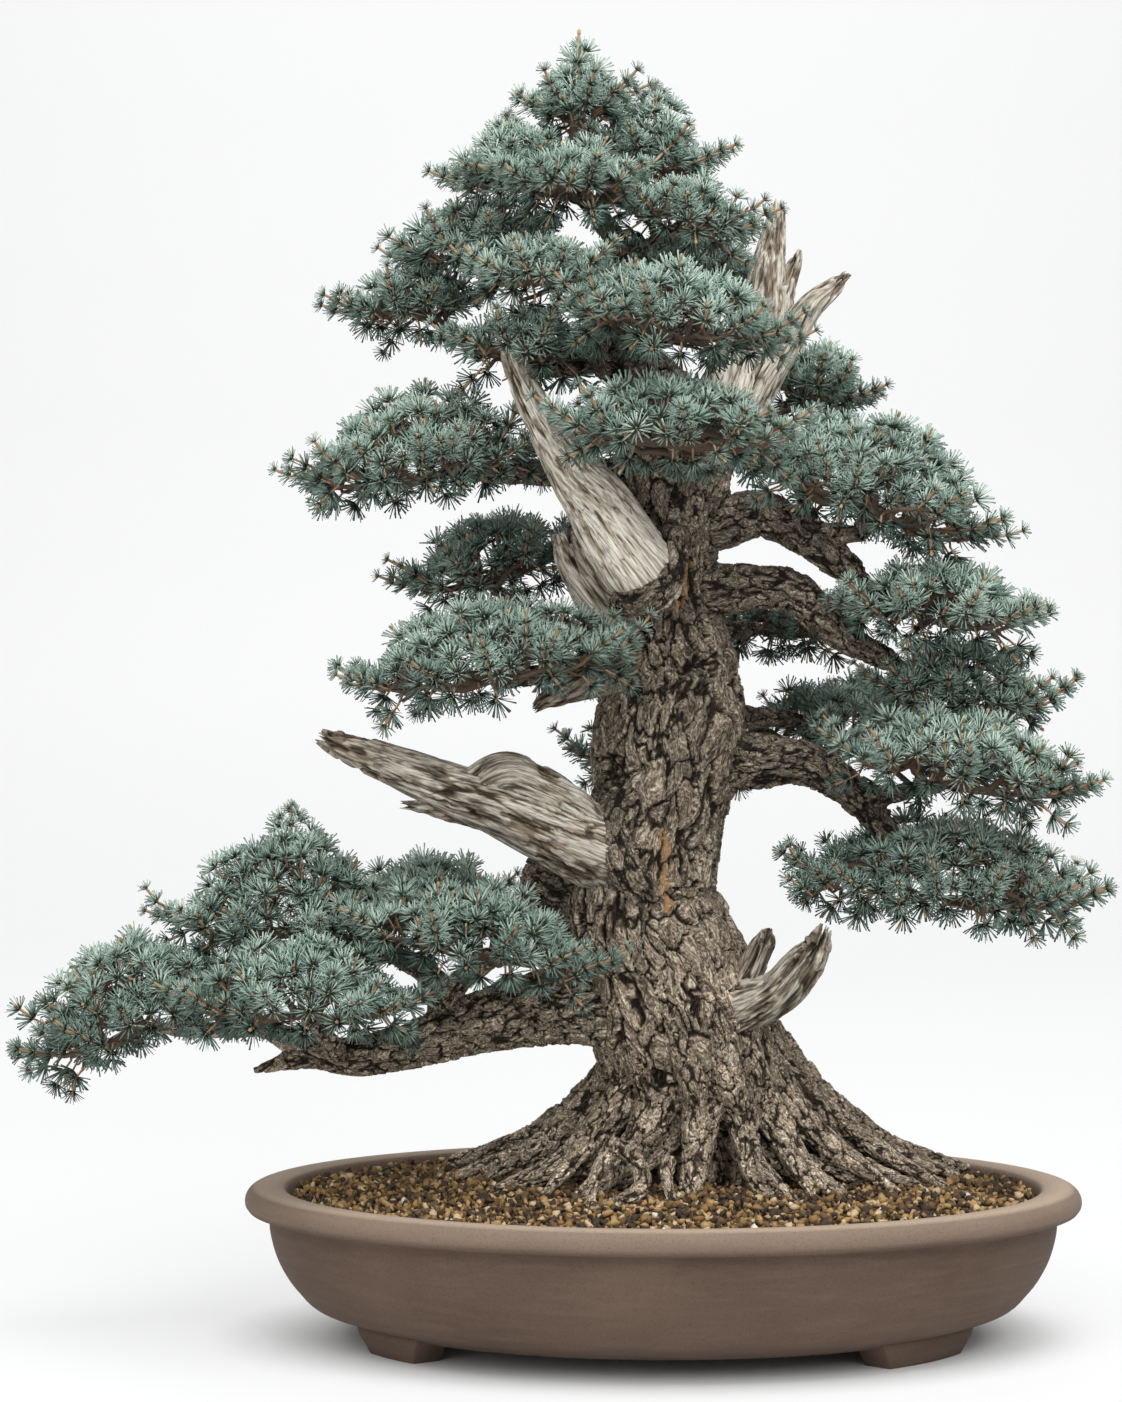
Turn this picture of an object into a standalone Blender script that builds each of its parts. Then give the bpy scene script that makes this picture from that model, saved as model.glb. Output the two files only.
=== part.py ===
"""Old cedar bonsai in an oval clay pot, one closed solid for each sub-part.

Metres, +Z up. The origin lies on the surface that the pot stands on, under the middle of the
whole plant. The front of the tree looks towards -Y. Limbs are given by a few stations in
millimetres, and the needle masses grow by one seeded rule inside the space each may fill.
"""

import math
import random

import bmesh
import bpy
import numpy as np
from mathutils import Euler, Matrix, Vector

MM = 0.001
GAP = 0.0003

# Pot, an oval turned shape squeezed front to back
POT_CENTRE = Vector((0.067, 0.0, 0.0))
POT_HALF_WIDTH = 0.275
POT_HALF_DEPTH = 0.206
POT_HEIGHT = 0.100
POT_STEPS = 32
FOOT_HEIGHT = 0.013
FLOOR_THICKNESS = 0.009
FOOT_OUTER = 0.214
FOOT_INNER = 0.186
FOOT_TAPER = 0.006
FRONT_GAP = (-0.147, 0.125)
SIDE_GAP_HALF = 0.055
DRAIN_RADIUS = 0.012
DRAIN_OFFSET = 0.075
DRAIN_SIDES = 16

# The pot's section, each radius and height: the inner wall from the floor up, the rim, the outside
FLOOR_TOP = FOOT_HEIGHT + FLOOR_THICKNESS
INNER_WALL = [
    (0.196, FLOOR_TOP), (0.224, FLOOR_TOP + 0.013), (0.240, FLOOR_TOP + 0.040),
    (0.2475, POT_HEIGHT - 0.003),
]
RIM = [
    (0.251, POT_HEIGHT - 0.0007), (0.262, POT_HEIGHT), (0.270, POT_HEIGHT - 0.0018),
    (POT_HALF_WIDTH, POT_HEIGHT - 0.0080), (0.2735, POT_HEIGHT - 0.0130),
    (0.266, POT_HEIGHT - 0.0165), (0.259, POT_HEIGHT - 0.0175),
]
OUTSIDE = [(0.2585, 0.070), (0.2500, 0.046), (0.238, 0.028), (0.227, 0.0185), (0.214, FOOT_HEIGHT)]

# Soil, level inside the rim
SOIL_TOP = 0.096
SOIL_EDGE_FALL = 0.0025
SOIL_CLEARANCE = 0.0007
SOIL_LEVEL_RADIUS = 0.225
SOIL_EDGE_RADIUS = 0.2458

# Trunk stations: x, y, z and radius in millimetres, from below the cut to the tip
TRUNK = [
    (96, 30, 80, 70), (91, 29, 118, 61), (89, 27, 154, 56), (83, 24, 187, 56), (66, 19, 232, 60),
    (47, 14, 282, 55), (55, 12, 318, 48), (66, 12, 352, 44), (71, 12, 392, 50), (74, 12, 424, 47),
    (74, 9, 455, 37), (70, 6, 490, 31), (72, 2, 538, 33), (72, 0, 573, 39), (68, -4, 604, 29),
    (54, -9, 630, 21.5), (34, -13, 649, 17), (29, -16, 672, 13), (41, -20, 696, 9.6),
    (34, -20, 721, 7.5), (13, -20, 751, 5.8), (9, -20, 785, 4), (11, -18, 826, 2.4),
    (12, -17, 860, 1.2),
]
TRUNK_SIDES = 12
TRUNK_SAMPLES = 2

# Burl low on the left flank, radius at the root and at the tip, and stations
BURL = (31, 17, [(52, 12, 284), (10, 0, 296), (-19, -6, 311)])

# Root flare: bearing in degrees, reach, girth and height on the trunk in millimetres
ROOT_HUB = Vector((0.093, 0.030, 0.0))
ROOT_START = 34
ROOT_SIDES = 6
ROOT_TIP = 4.5
ROOT_FALL = 1.8
ROOT_TAPER = 1.1
ROOT_LIFT = 0.30
ROOT_WANDER = 5.0
ROOT_WAVES = 3.0
ROOT_SHARES = (0.0, 0.2, 0.4, 0.62, 1.0)
ROOTS = [
    (4, 176, 21, 88), (-15, 148, 20, 80), (-36, 112, 20, 72), (-60, 90, 17, 68),
    (-84, 82, 21, 72), (-108, 90, 17, 66), (-132, 116, 21, 74), (-157, 150, 22, 80),
    (-180, 168, 21, 88), (154, 192, 31, 78), (124, 122, 23, 82), (90, 114, 22, 78),
    (56, 130, 23, 84), (15, 192, 31, 82),
]

# Limbs: name, radius at the root and at the tip, stations x, y, z in millimetres
BOUGHS = [
    ("low_left", 30, 6.5, [
        (65, 8, 227), (26, 0, 219), (-4, -5, 217), (-31, -10, 213), (-69, -15, 202),
        (-109, -20, 190), (-142, -25, 186), (-168, -28, 193), (-192, -30, 205),
    ]),
    ("low_left_riser", 12, 5.5, [(-75, -15, 201), (-77, -15, 220), (-86, -14, 238), (-111, -10, 251)]),
    ("low_left_fork", 8.5, 5, [(-79, -15, 222), (-64, -21, 236), (-38, -36, 256)]),
    ("left_low", 13, 5, [(59, 0, 432), (26, -15, 440), (1, -32, 438), (-39, -45, 430)]),
    ("left_back", 9, 4.5, [(59, 15, 455), (22, 45, 461), (-14, 58, 473), (-45, 62, 493)]),
    ("left_mid", 12, 6, [(62, 0, 569), (26, -5, 567), (-12, -10, 568), (-71, -18, 568)]),
    ("left_upper", 8, 4.3, [(33, -12, 642), (-12, 0, 638), (-39, 8, 648), (-77, 18, 668)]),
    ("right_top", 18, 9, [
        (85, 0, 536), (106, -4, 535), (128, -8, 541), (150, -12, 533), (173, -16, 516), (194, -20, 500),
    ]),
    ("right_top_fork", 7, 5, [(148, -14, 534), (176, -18, 529), (199, -20, 527)]),
    ("right_mid", 18, 7.5, [
        (85, 0, 490), (108, -2, 491), (132, -4, 492), (155, -5, 488), (187, -5, 460), (219, 0, 444),
    ]),
    ("right_low", 20, 8, [
        (102, 5, 378), (130, 1, 378), (156, -2, 378), (178, -3, 369), (204, -5, 345), (219, -5, 327),
    ]),
    ("right_low_fork", 8, 5.5, [(192, -4, 356), (212, -14, 356), (231, -26, 361)]),
    ("front_centre", 12, 6, [(74, -5, 577), (76, -50, 573), (74, -84, 575)]),
    ("front_upper", 8, 4.8, [(33, -12, 647), (46, -46, 649), (60, -72, 648)]),
    ("right_back", 10, 4.5, [(80, 12, 588), (117, 48, 600), (158, 66, 620)]),
    ("back_right", 9, 5, [(84, 25, 457), (118, 70, 466), (136, 100, 468)]),
    ("back_right_low", 11, 5.6, [(86, 30, 409), (130, 75, 407), (162, 100, 406)]),
    ("back_low", 12, 6, [(72, 30, 368), (77, 62, 370), (76, 92, 374)]),
    ("back_mid", 11, 6, [(73, 20, 579), (77, 55, 588), (78, 84, 596)]),
    ("back_left_low", 14, 6, [(42, 25, 284), (0, 66, 280), (-46, 96, 272)]),
]
BOUGH_SIDES = 6

# Bare dead limbs: name and stations x, y, z and radius in millimetres
DEADWOOD = [
    ("high_left", [
        (58, -12, 496, 23), (46, -44, 510, 24), (23, -57, 546, 20), (6, -63, 567, 15.5),
        (-14, -65, 601, 10.5), (-27, -65, 628, 8.5), (-33, -64, 648, 6),
    ]),
    ("high_left_stub", [(38, -8, 466, 14), (21, -18, 487, 13), (9, -20, 510, 12), (3, -20, 531, 8)]),
    ("low_left", [
        (46, 0, 310, 24), (16, -30, 323, 24), (-10, -40, 336, 21), (-39, -46, 350, 19),
        (-67, -49, 360, 16.5), (-107, -52, 376, 13), (-142, -54, 390, 8.5), (-157, -54, 396, 4.5),
    ]),
    ("stub_left", [
        (52, -12, 440, 12), (14, -34, 429, 10), (-2, -42, 422, 7), (-11, -45, 418, 4.5), (-18, -46, 412, 2),
    ]),
    ("low_right", [
        (108, -4, 214, 20), (140, -22, 227, 14), (157, -30, 245, 12.5), (166, -33, 258, 8.5),
        (172, -34, 272, 3.5),
    ]),
    ("crown_left", [
        (84, 20, 579, 30), (108, 28, 612, 23), (121, 33, 645, 19), (131, 35, 667, 17), (135, 36, 685, 15),
        (138, 36, 704, 12.5), (142, 37, 726, 8.5), (145, 37, 748, 5), (146, 37, 756, 2.6),
    ]),
    ("crown_right", [
        (118, 26, 606, 14), (138, 20, 636, 11), (155, 16, 664, 9.5), (167, 15, 681, 8), (180, 15, 692, 5.5),
        (192, 15, 702, 2.5),
    ]),
]
DEADWOOD_SIDES = 8

# Lesser dead limbs, each one piece with the larger one of its name
SPURS = {
    "low_left": [
        [
            (20, -26, 330, 17), (4, -38, 348, 16), (-16, -45, 361, 15), (-36, -48, 371, 14),
            (-52, -50, 368, 10),
        ],
        [(-34, -46, 340, 11), (-55, -46, 344, 8), (-80, -47, 348, 5), (-104, -48, 351, 1.8)],
    ],
    "low_right": [[(114, -8, 226, 10), (127, -8, 246, 8), (133, -8, 258, 7), (137, -7, 269, 2.6)]],
    "crown_left": [[
        (139, 35, 660, 10), (147, 35, 684, 8), (152, 36, 700, 6), (157, 36, 712, 4), (160, 36, 721, 2),
    ]],
}

# A broken stub below the tip of the low left bough: radius at the root and at the tip, stations
LOW_LEFT_STUB = (9, 2.5, [(-158, -27, 188), (-180, -29, 183), (-201, -30, 177)])

# Needle masses: name, limb that carries it, where its stem leaves, centre, half sizes, tilt, sprays
MASSES = [
    ("apex", "trunk", (11, -20, 782), (11, -18, 812), (32, 34, 36), 0, 8),
    ("upper_left", "trunk", (18, -20, 745), (-31, -26, 768), (41, 44, 27), 12, 8),
    ("upper_right", "trunk", (24, -20, 740), (58, 6, 784), (44, 48, 36), -10, 8),
    ("upper_front", "trunk", (26, -20, 733), (8, -74, 752), (46, 40, 21), 0, 7),
    ("third_right", "trunk", (40, -20, 710), (80, -46, 735), (46, 42, 20), -12, 7),
    ("third_left", "trunk", (42, -20, 702), (-59, 0, 722), (53, 56, 25), 10, 8),
    ("third_front", "trunk", (36, -19, 688), (-12, -84, 692), (46, 48, 21), 0, 7),
    ("fourth_left", "left_upper", (-77, 18, 668), (-101, 20, 685), (44, 45, 21), 5, 7),
    ("front_upper", "front_upper", (60, -72, 648), (72, -124, 657), (72, 58, 35), -8, 10),
    ("fourth_low_left", "trunk", (36, -13, 645), (-24, -52, 650), (46, 44, 18), 0, 6),
    ("right_back", "right_back", (158, 66, 620), (176, 78, 635), (33, 48, 31), -15, 7),
    ("centre_front", "front_centre", (74, -84, 575), (70, -136, 588), (74, 58, 31), -5, 10),
    ("left_mid", "left_mid", (-71, -18, 568), (-92, -20, 579), (82, 76, 43), 8, 11),
    ("right_top", "right_top_fork", (199, -20, 527), (204, -26, 558), (86, 82, 46), -18, 12),
    ("right_mid", "right_top", (194, -20, 500), (246, -36, 480), (66, 62, 31), -5, 9),
    ("right_lower_mid", "right_mid", (219, 0, 444), (266, 8, 426), (62, 60, 33), -8, 9),
    ("right_low", "right_low_fork", (231, -26, 361), (257, -58, 378), (82, 66, 36), -10, 11),
    ("right_lowest", "right_low", (219, -5, 327), (254, -2, 303), (102, 86, 45), -5, 13),
    ("back_right", "back_right", (136, 100, 468), (154, 134, 474), (50, 58, 27), 0, 7),
    ("back_right_low", "back_right_low", (162, 100, 406), (204, 134, 404), (78, 66, 34), 0, 10),
    ("left_back", "left_back", (-45, 62, 493), (-48, 70, 514), (62, 54, 34), 15, 8),
    ("left_low", "left_low", (-39, -45, 430), (-45, -70, 446), (92, 72, 39), 8, 11),
    ("low_left_peak", "low_left_riser", (-111, -10, 251), (-170, -12, 292), (70, 74, 54), 0, 11),
    ("low_left_inner", "low_left_fork", (-38, -36, 256), (-48, -76, 276), (72, 62, 33), -12, 10),
    ("low_left_tip", "low_left", (-192, -30, 205), (-287, -30, 219), (64, 68, 56), 22, 10),
    ("low_left_under", "low_left", (-142, -25, 186), (-172, -100, 226), (70, 54, 28), 0, 8),
    ("back_low", "back_low", (76, 92, 374), (76, 138, 382), (66, 66, 29), 0, 8),
    ("back_mid", "back_mid", (78, 84, 596), (80, 130, 606), (70, 70, 28), 0, 9),
    ("back_high", "trunk", (42, -18, 696), (84, 64, 712), (52, 66, 28), 0, 7),
    ("back_left_low", "back_left_low", (-46, 96, 272), (-92, 132, 280), (66, 68, 30), 0, 8),
]
SPRAY_LARGEST = 0.022
SPRAY_SHARE = 0.42
SPRAY_BODY_SHARE = 0.50
SPRAY_SIZE_SPREAD = 0.14
SPRAY_INSET = 0.70
CORE_SHARE = 0.76
CORE_BELOW = 0.85
CORE_RINGS = 4
CORE_SEGMENTS = 8
CORE_SHRINK = 0.9
CORE_SMALLEST = 0.2
CORE_TESTS = 60
CORE_TEST_RADIUS = 0.004
EDGE_SHARE = 0.56
MIDDLE_RING = 0.58
MIDDLE_SHARE = 0.34
TOP_RING = 0.12
TWIG_SIDES = 3
TWIG_RADIUS = 0.0019
TWIG_FOOT = 1.3
STEM_HUB_RADIUS = 0.0035
STEM_FOOT_SHARE = 0.75
HUB_DROP = 0.30
GOLDEN_ANGLE = math.radians(137.5)
DOME_TOP = 1.50
DOME_DROP = 0.52
PLACE_JITTER = 0.10
PATH_WEIGHT = 0.35
LIMB_CLEARANCE = 0.0012
MASS_CLEARANCE = 0.0008
WELD = 0.000001
SEED = 20

COLOURS = {
    "clay": ((0.165, 0.105, 0.082), 0.72),
    "soil": ((0.150, 0.095, 0.050), 0.95),
    "bark": ((0.115, 0.088, 0.068), 0.90),
    "deadwood": ((0.430, 0.375, 0.310), 0.80),
    "needles": ((0.100, 0.190, 0.190), 0.60),
}


def clear_scene():
    for obj in list(bpy.data.objects):
        bpy.data.objects.remove(obj, do_unlink=True)


def new_collection(name):
    collection = bpy.data.collections.new(name)
    bpy.context.scene.collection.children.link(collection)
    return collection


def make_material(name):
    colour, roughness = COLOURS[name]
    material = bpy.data.materials.new(name)
    material.use_nodes = True
    shader = material.node_tree.nodes["Principled BSDF"]
    shader.inputs["Base Color"].default_value = (*colour, 1.0)
    shader.inputs["Roughness"].default_value = roughness
    shader.inputs["Metallic"].default_value = 0.0
    return material


def object_from_bmesh(name, shape, collection):
    mesh = bpy.data.meshes.new(name)
    shape.to_mesh(mesh)
    shape.free()
    obj = bpy.data.objects.new(name, mesh)
    collection.objects.link(obj)
    return obj


def finish(obj, material, smooth=True):
    obj.data.materials.clear()
    obj.data.materials.append(material)
    if smooth:
        obj.data.shade_smooth()
        obj.data.set_sharp_from_angle(angle=math.radians(40))


def evaluated_mesh(obj, merge=0.0):
    """The object's mesh with its modifiers applied, its loose caps welded where merge is given."""
    bpy.context.view_layer.update()
    graph = bpy.context.evaluated_depsgraph_get()
    mesh = bpy.data.meshes.new_from_object(obj.evaluated_get(graph))
    if merge:
        shape = bmesh.new()
        shape.from_mesh(mesh)
        bmesh.ops.remove_doubles(shape, verts=shape.verts, dist=merge)
        shape.to_mesh(mesh)
        shape.free()
    return mesh


def remove(obj):
    mesh = obj.data
    bpy.data.objects.remove(obj, do_unlink=True)
    if isinstance(mesh, bpy.types.Mesh):
        bpy.data.meshes.remove(mesh)


def apply_booleans(obj):
    """Replaces the object's mesh by what its Boolean modifiers make of it."""
    mesh = evaluated_mesh(obj)
    obj.modifiers.clear()
    old = obj.data
    obj.data = mesh
    bpy.data.meshes.remove(old)


def boolean(obj, operation, tools, solver="EXACT"):
    """Joins or cuts obj with every object in tools, then removes those."""
    if not tools:
        return
    group = bpy.data.collections.new("tools")
    bpy.context.scene.collection.children.link(group)
    for tool in tools:
        for holder in list(tool.users_collection):
            holder.objects.unlink(tool)
        group.objects.link(tool)
        tool.hide_render = True
        tool.display_type = "WIRE"
    modifier = obj.modifiers.new(operation.lower(), "BOOLEAN")
    modifier.operation = operation
    modifier.solver = solver
    modifier.operand_type = "COLLECTION"
    modifier.collection = group
    apply_booleans(obj)
    for tool in tools:
        remove(tool)
    bpy.data.collections.remove(group)


def largest_piece(obj):
    """Drops loose scraps that a cut may leave, keeping the piece with the most faces."""
    shape = bmesh.new()
    shape.from_mesh(obj.data)
    unseen = set(shape.verts)
    pieces = []
    while unseen:
        stack = [unseen.pop()]
        piece = set(stack)
        while stack:
            vertex = stack.pop()
            for edge in vertex.link_edges:
                other = edge.other_vert(vertex)
                if other in unseen:
                    unseen.discard(other)
                    piece.add(other)
                    stack.append(other)
        pieces.append(piece)
    pieces.sort(key=len)
    for piece in pieces[:-1]:
        bmesh.ops.delete(shape, geom=list(piece), context="VERTS")
    shape.to_mesh(obj.data)
    shape.free()


def smooth_stations(stations, samples):
    """Points on a Catmull-Rom curve through the stations, with samples spans between each two."""
    points = [np.array(station, float) for station in stations]
    padded = [2 * points[0] - points[1], *points, 2 * points[-1] - points[-2]]
    found = []
    for i in range(len(points) - 1):
        a, b, c, d = padded[i:i + 4]
        for j in range(samples):
            t = j / samples
            found.append(0.5 * (
                2 * b + (c - a) * t + (2 * a - 5 * b + 4 * c - d) * t ** 2
                + (3 * b - a - 3 * c + d) * t ** 3
            ))
    found.append(points[-1])
    return found


def tapered(points, root, tip):
    """Adds to each point a radius that falls evenly along the limb from root to tip."""
    points = np.array(points, float)
    steps = np.linalg.norm(np.diff(points, axis=0), axis=1)
    share = np.concatenate([[0.0], np.cumsum(steps) / steps.sum()])
    return np.column_stack([points, root + (tip - root) * share])


def tube(name, stations, sides, collection, grow=0.0):
    """A limb as a closed mesh tube through stations in millimetres, made larger all round by grow."""
    points = np.array(stations, float) * MM
    if grow:
        start = points[0, :3] - points[1, :3]
        end = points[-1, :3] - points[-2, :3]
        points[0, :3] += grow * start / np.linalg.norm(start)
        points[-1, :3] += grow * end / np.linalg.norm(end)
    curve = bpy.data.curves.new(name, "CURVE")
    curve.dimensions = "3D"
    curve.bevel_depth = 1.0
    curve.bevel_resolution = (sides - 4) // 2
    curve.use_fill_caps = True
    spline = curve.splines.new("POLY")
    spline.points.add(len(points) - 1)
    for target, point in zip(spline.points, points):
        target.co = (*point[:3], 1.0)
        target.radius = point[3] + grow
    guide = bpy.data.objects.new("guide", curve)
    collection.objects.link(guide)
    mesh = evaluated_mesh(guide, merge=WELD)
    mesh.name = name
    obj = bpy.data.objects.new(name, mesh)
    obj.matrix_world = guide.matrix_world
    bpy.data.objects.remove(guide, do_unlink=True)
    bpy.data.curves.remove(curve)
    collection.objects.link(obj)
    return obj


def turned(name, profile, collection):
    """An oval turned shape: the profile, radius and height, spun about Z and squeezed along Y."""
    shape = bmesh.new()
    corners = [shape.verts.new((radius, 0.0, height)) for radius, height in profile]
    for first, second in zip(corners, corners[1:]):
        shape.edges.new((first, second))
    obj = object_from_bmesh(name, shape, collection)
    screw = obj.modifiers.new("turn", "SCREW")
    screw.steps = POT_STEPS
    screw.render_steps = POT_STEPS
    screw.use_merge_vertices = True
    screw.merge_threshold = 0.00001
    mesh = evaluated_mesh(obj)
    obj.modifiers.clear()
    obj.data = mesh
    squeeze = Matrix.Diagonal((1.0, POT_HALF_DEPTH / POT_HALF_WIDTH, 1.0, 1.0))
    mesh.transform(Matrix.Translation(POT_CENTRE) @ squeeze)
    return obj


def block(name, low, high, collection):
    low = Vector(low)
    high = Vector(high)
    shape = bmesh.new()
    bmesh.ops.create_cube(shape, size=1.0)
    bmesh.ops.scale(shape, vec=high - low, verts=shape.verts)
    bmesh.ops.translate(shape, vec=(high + low) / 2, verts=shape.verts)
    return object_from_bmesh(name, shape, collection)


def cylinder(name, radius, low, high, centre, collection):
    shape = bmesh.new()
    bmesh.ops.create_cone(
        shape, cap_ends=True, segments=DRAIN_SIDES, radius1=radius, radius2=radius, depth=high - low,
    )
    bmesh.ops.translate(shape, vec=(centre[0], centre[1], (high + low) / 2), verts=shape.verts)
    return object_from_bmesh(name, shape, collection)


def build_pot(collection, cutters):
    """The turned pot with its four feet and two drain holes."""
    profile = [(0.0, FLOOR_TOP), *INNER_WALL, *RIM, *OUTSIDE, (0.0, FOOT_HEIGHT)]
    pot = turned("pot", profile, collection)
    sunk = FOOT_HEIGHT + 0.5 * FLOOR_THICKNESS
    foot_section = [
        (FOOT_INNER, sunk), (FOOT_OUTER, sunk), (FOOT_OUTER, FOOT_HEIGHT),
        (FOOT_OUTER - FOOT_TAPER, 0.0), (FOOT_INNER, 0.0), (FOOT_INNER, sunk),
    ]
    ring = turned("feet", foot_section, cutters)
    weld = bmesh.new()
    weld.from_mesh(ring.data)
    bmesh.ops.remove_doubles(weld, verts=weld.verts, dist=WELD)
    weld.to_mesh(ring.data)
    weld.free()
    reach = 2 * POT_HALF_WIDTH
    x = POT_CENTRE.x
    below = -FOOT_HEIGHT
    left, right = FRONT_GAP
    front_back = block("front", (x + left, -reach, below), (x + right, reach, reach), cutters)
    sides = block("sides", (x - reach, -SIDE_GAP_HALF, below), (x + reach, SIDE_GAP_HALF, reach), cutters)
    boolean(ring, "DIFFERENCE", [front_back, sides])
    boolean(pot, "UNION", [ring])
    drains = [
        cylinder("drain", DRAIN_RADIUS, 0.0, 2 * FLOOR_TOP, (x + side * DRAIN_OFFSET, 0.0), cutters)
        for side in (-1, 1)
    ]
    boolean(pot, "DIFFERENCE", drains)
    return pot


def build_soil(collection):
    """The soil, level in the middle and a little lower along the wall."""
    wall = [(radius - SOIL_CLEARANCE, height) for radius, height in reversed(INNER_WALL[:-1])]
    wall[-1] = (wall[-1][0], FLOOR_TOP + GAP)
    top = [(0.0, SOIL_TOP), (SOIL_LEVEL_RADIUS, SOIL_TOP), (SOIL_EDGE_RADIUS, SOIL_TOP - SOIL_EDGE_FALL)]
    return turned("soil", [*top, *wall, (0.0, FLOOR_TOP + GAP)], collection)


def root_stations(bearing, reach, girth, rise):
    """A surface root: it leaves the trunk's flank, falls in a curve and runs out along the soil."""
    angle = math.radians(bearing)
    soil = SOIL_TOP / MM
    hub = ROOT_HUB / MM
    stations = []
    for share in ROOT_SHARES:
        out = ROOT_START + (reach - ROOT_START) * share
        fall = (1.0 - share) ** ROOT_FALL
        radius = ROOT_TIP + (girth - ROOT_TIP) * (1.0 - share) ** ROOT_TAPER
        wander = ROOT_WANDER * math.sin(ROOT_WAVES * share + bearing)
        stations.append((
            hub.x + out * math.cos(angle) - wander * math.sin(angle),
            hub.y + out * math.sin(angle) + wander * math.cos(angle),
            soil + ROOT_LIFT * radius + rise * fall,
            radius,
        ))
    return stations


def limb_table():
    """Every limb's name, sides and stations with radii, in the order in which they are cut."""
    rows = {"trunk": (TRUNK_SIDES, smooth_stations(TRUNK, TRUNK_SAMPLES))}
    for name, root, tip, stations in BOUGHS:
        rows[name] = (BOUGH_SIDES, tapered(stations, root, tip))
    for name, stations in DEADWOOD:
        rows["deadwood_" + name] = (DEADWOOD_SIDES, stations)
    return rows


def lesser(row):
    """The stations with radii of a limb that is one piece with a larger one."""
    root, tip, stations = row
    return tapered(stations, root, tip)


def dense(stations, step=3.0):
    """Spheres along a limb, as centres and radii in metres, closer together than its radius."""
    stations = np.array(stations, float)
    found = [stations[0]]
    for first, second in zip(stations, stations[1:]):
        count = max(1, int(np.linalg.norm(second[:3] - first[:3]) / step))
        for i in range(1, count + 1):
            found.append(first + (second - first) * i / count)
    return np.array(found) * MM


def closest(spheres, others):
    """The smallest clearance between two lists of spheres."""
    apart = np.linalg.norm(spheres[:, None, :3] - others[None, :, :3], axis=2)
    return float((apart - spheres[:, None, 3] - others[None, :, 3]).min())


class Limb:
    """One limb's tubes, which its neighbours are cut clear of."""

    def __init__(self, name, tubes):
        self.name = name
        self.tubes = tubes
        self.spheres = [dense(stations) for _, stations in tubes]

    def cutters_near(self, spheres, collection):
        """Copies of its tubes, larger by the gap, of those that come near the spheres."""
        found = []
        for (sides, stations), own in zip(self.tubes, self.spheres):
            if closest(own, spheres) < 3 * LIMB_CLEARANCE:
                found.append(tube("clear", stations, sides, collection, grow=GAP))
        return found


def build_limbs(collection, cutters, materials):
    """The trunk with its root flare, the boughs and the dead limbs, each cut clear of those before."""
    roots = [(ROOT_SIDES, root_stations(*root)) for root in ROOTS]
    extras = {
        "trunk": [*roots, (DEADWOOD_SIDES, lesser(BURL))],
        "low_left": [(BOUGH_SIDES, lesser(LOW_LEFT_STUB))],
    }
    for name, spurs in SPURS.items():
        extras["deadwood_" + name] = [(BOUGH_SIDES, stations) for stations in spurs]
    limbs = []
    for name, (sides, stations) in limb_table().items():
        tubes = [(sides, stations), *extras.get(name, [])]
        dead = name.startswith("deadwood")
        label = name if dead or name == "trunk" else "bough_" + name
        obj = tube(label, stations, sides, collection)
        added = [tube("added", points, count, cutters) for count, points in tubes[1:]]
        boolean(obj, "UNION", added, "MANIFOLD" if name == "trunk" else "EXACT")
        if name == "trunk":
            reach = 2 * POT_HALF_WIDTH
            ground = block("ground", (-reach, -reach, -reach), (reach, reach, SOIL_TOP + GAP), cutters)
            boolean(obj, "DIFFERENCE", [ground], "MANIFOLD")
        limb = Limb(name, tubes)
        own = np.concatenate(limb.spheres)
        tools = [cutter for other in limbs for cutter in other.cutters_near(own, cutters)]
        boolean(obj, "DIFFERENCE", tools, "MANIFOLD")
        largest_piece(obj)
        finish(obj, materials["deadwood" if dead else "bark"])
        limbs.append(limb)
    return limbs


def spray_shape(radius, place, turn):
    """A burst of needles: four spikes that stand out of a small four-sided body."""
    shape = bmesh.new()
    corners = [(1, 1, 1), (1, -1, -1), (-1, 1, -1), (-1, -1, 1)]
    ends = [shape.verts.new(Vector(corner).normalized() * SPRAY_BODY_SHARE) for corner in corners]
    bmesh.ops.convex_hull(shape, input=ends)
    poked = bmesh.ops.poke(shape, faces=shape.faces)
    for tip in poked["verts"]:
        tip.co = tip.co.normalized()
    bmesh.ops.scale(shape, vec=(radius, radius, radius), verts=shape.verts)
    bmesh.ops.rotate(shape, matrix=turn, verts=shape.verts)
    bmesh.ops.translate(shape, vec=place, verts=shape.verts)
    return shape


def twig_shape(first, second):
    """A three-sided twig between two places."""
    shape = bmesh.new()
    bmesh.ops.create_cone(
        shape, cap_ends=True, segments=TWIG_SIDES, radius1=TWIG_FOOT * TWIG_RADIUS,
        radius2=TWIG_RADIUS, depth=(second - first).length,
    )
    turn = (second - first).to_track_quat("Z", "Y").to_matrix()
    bmesh.ops.rotate(shape, matrix=turn, verts=shape.verts)
    bmesh.ops.translate(shape, vec=(first + second) / 2, verts=shape.verts)
    return shape


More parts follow.
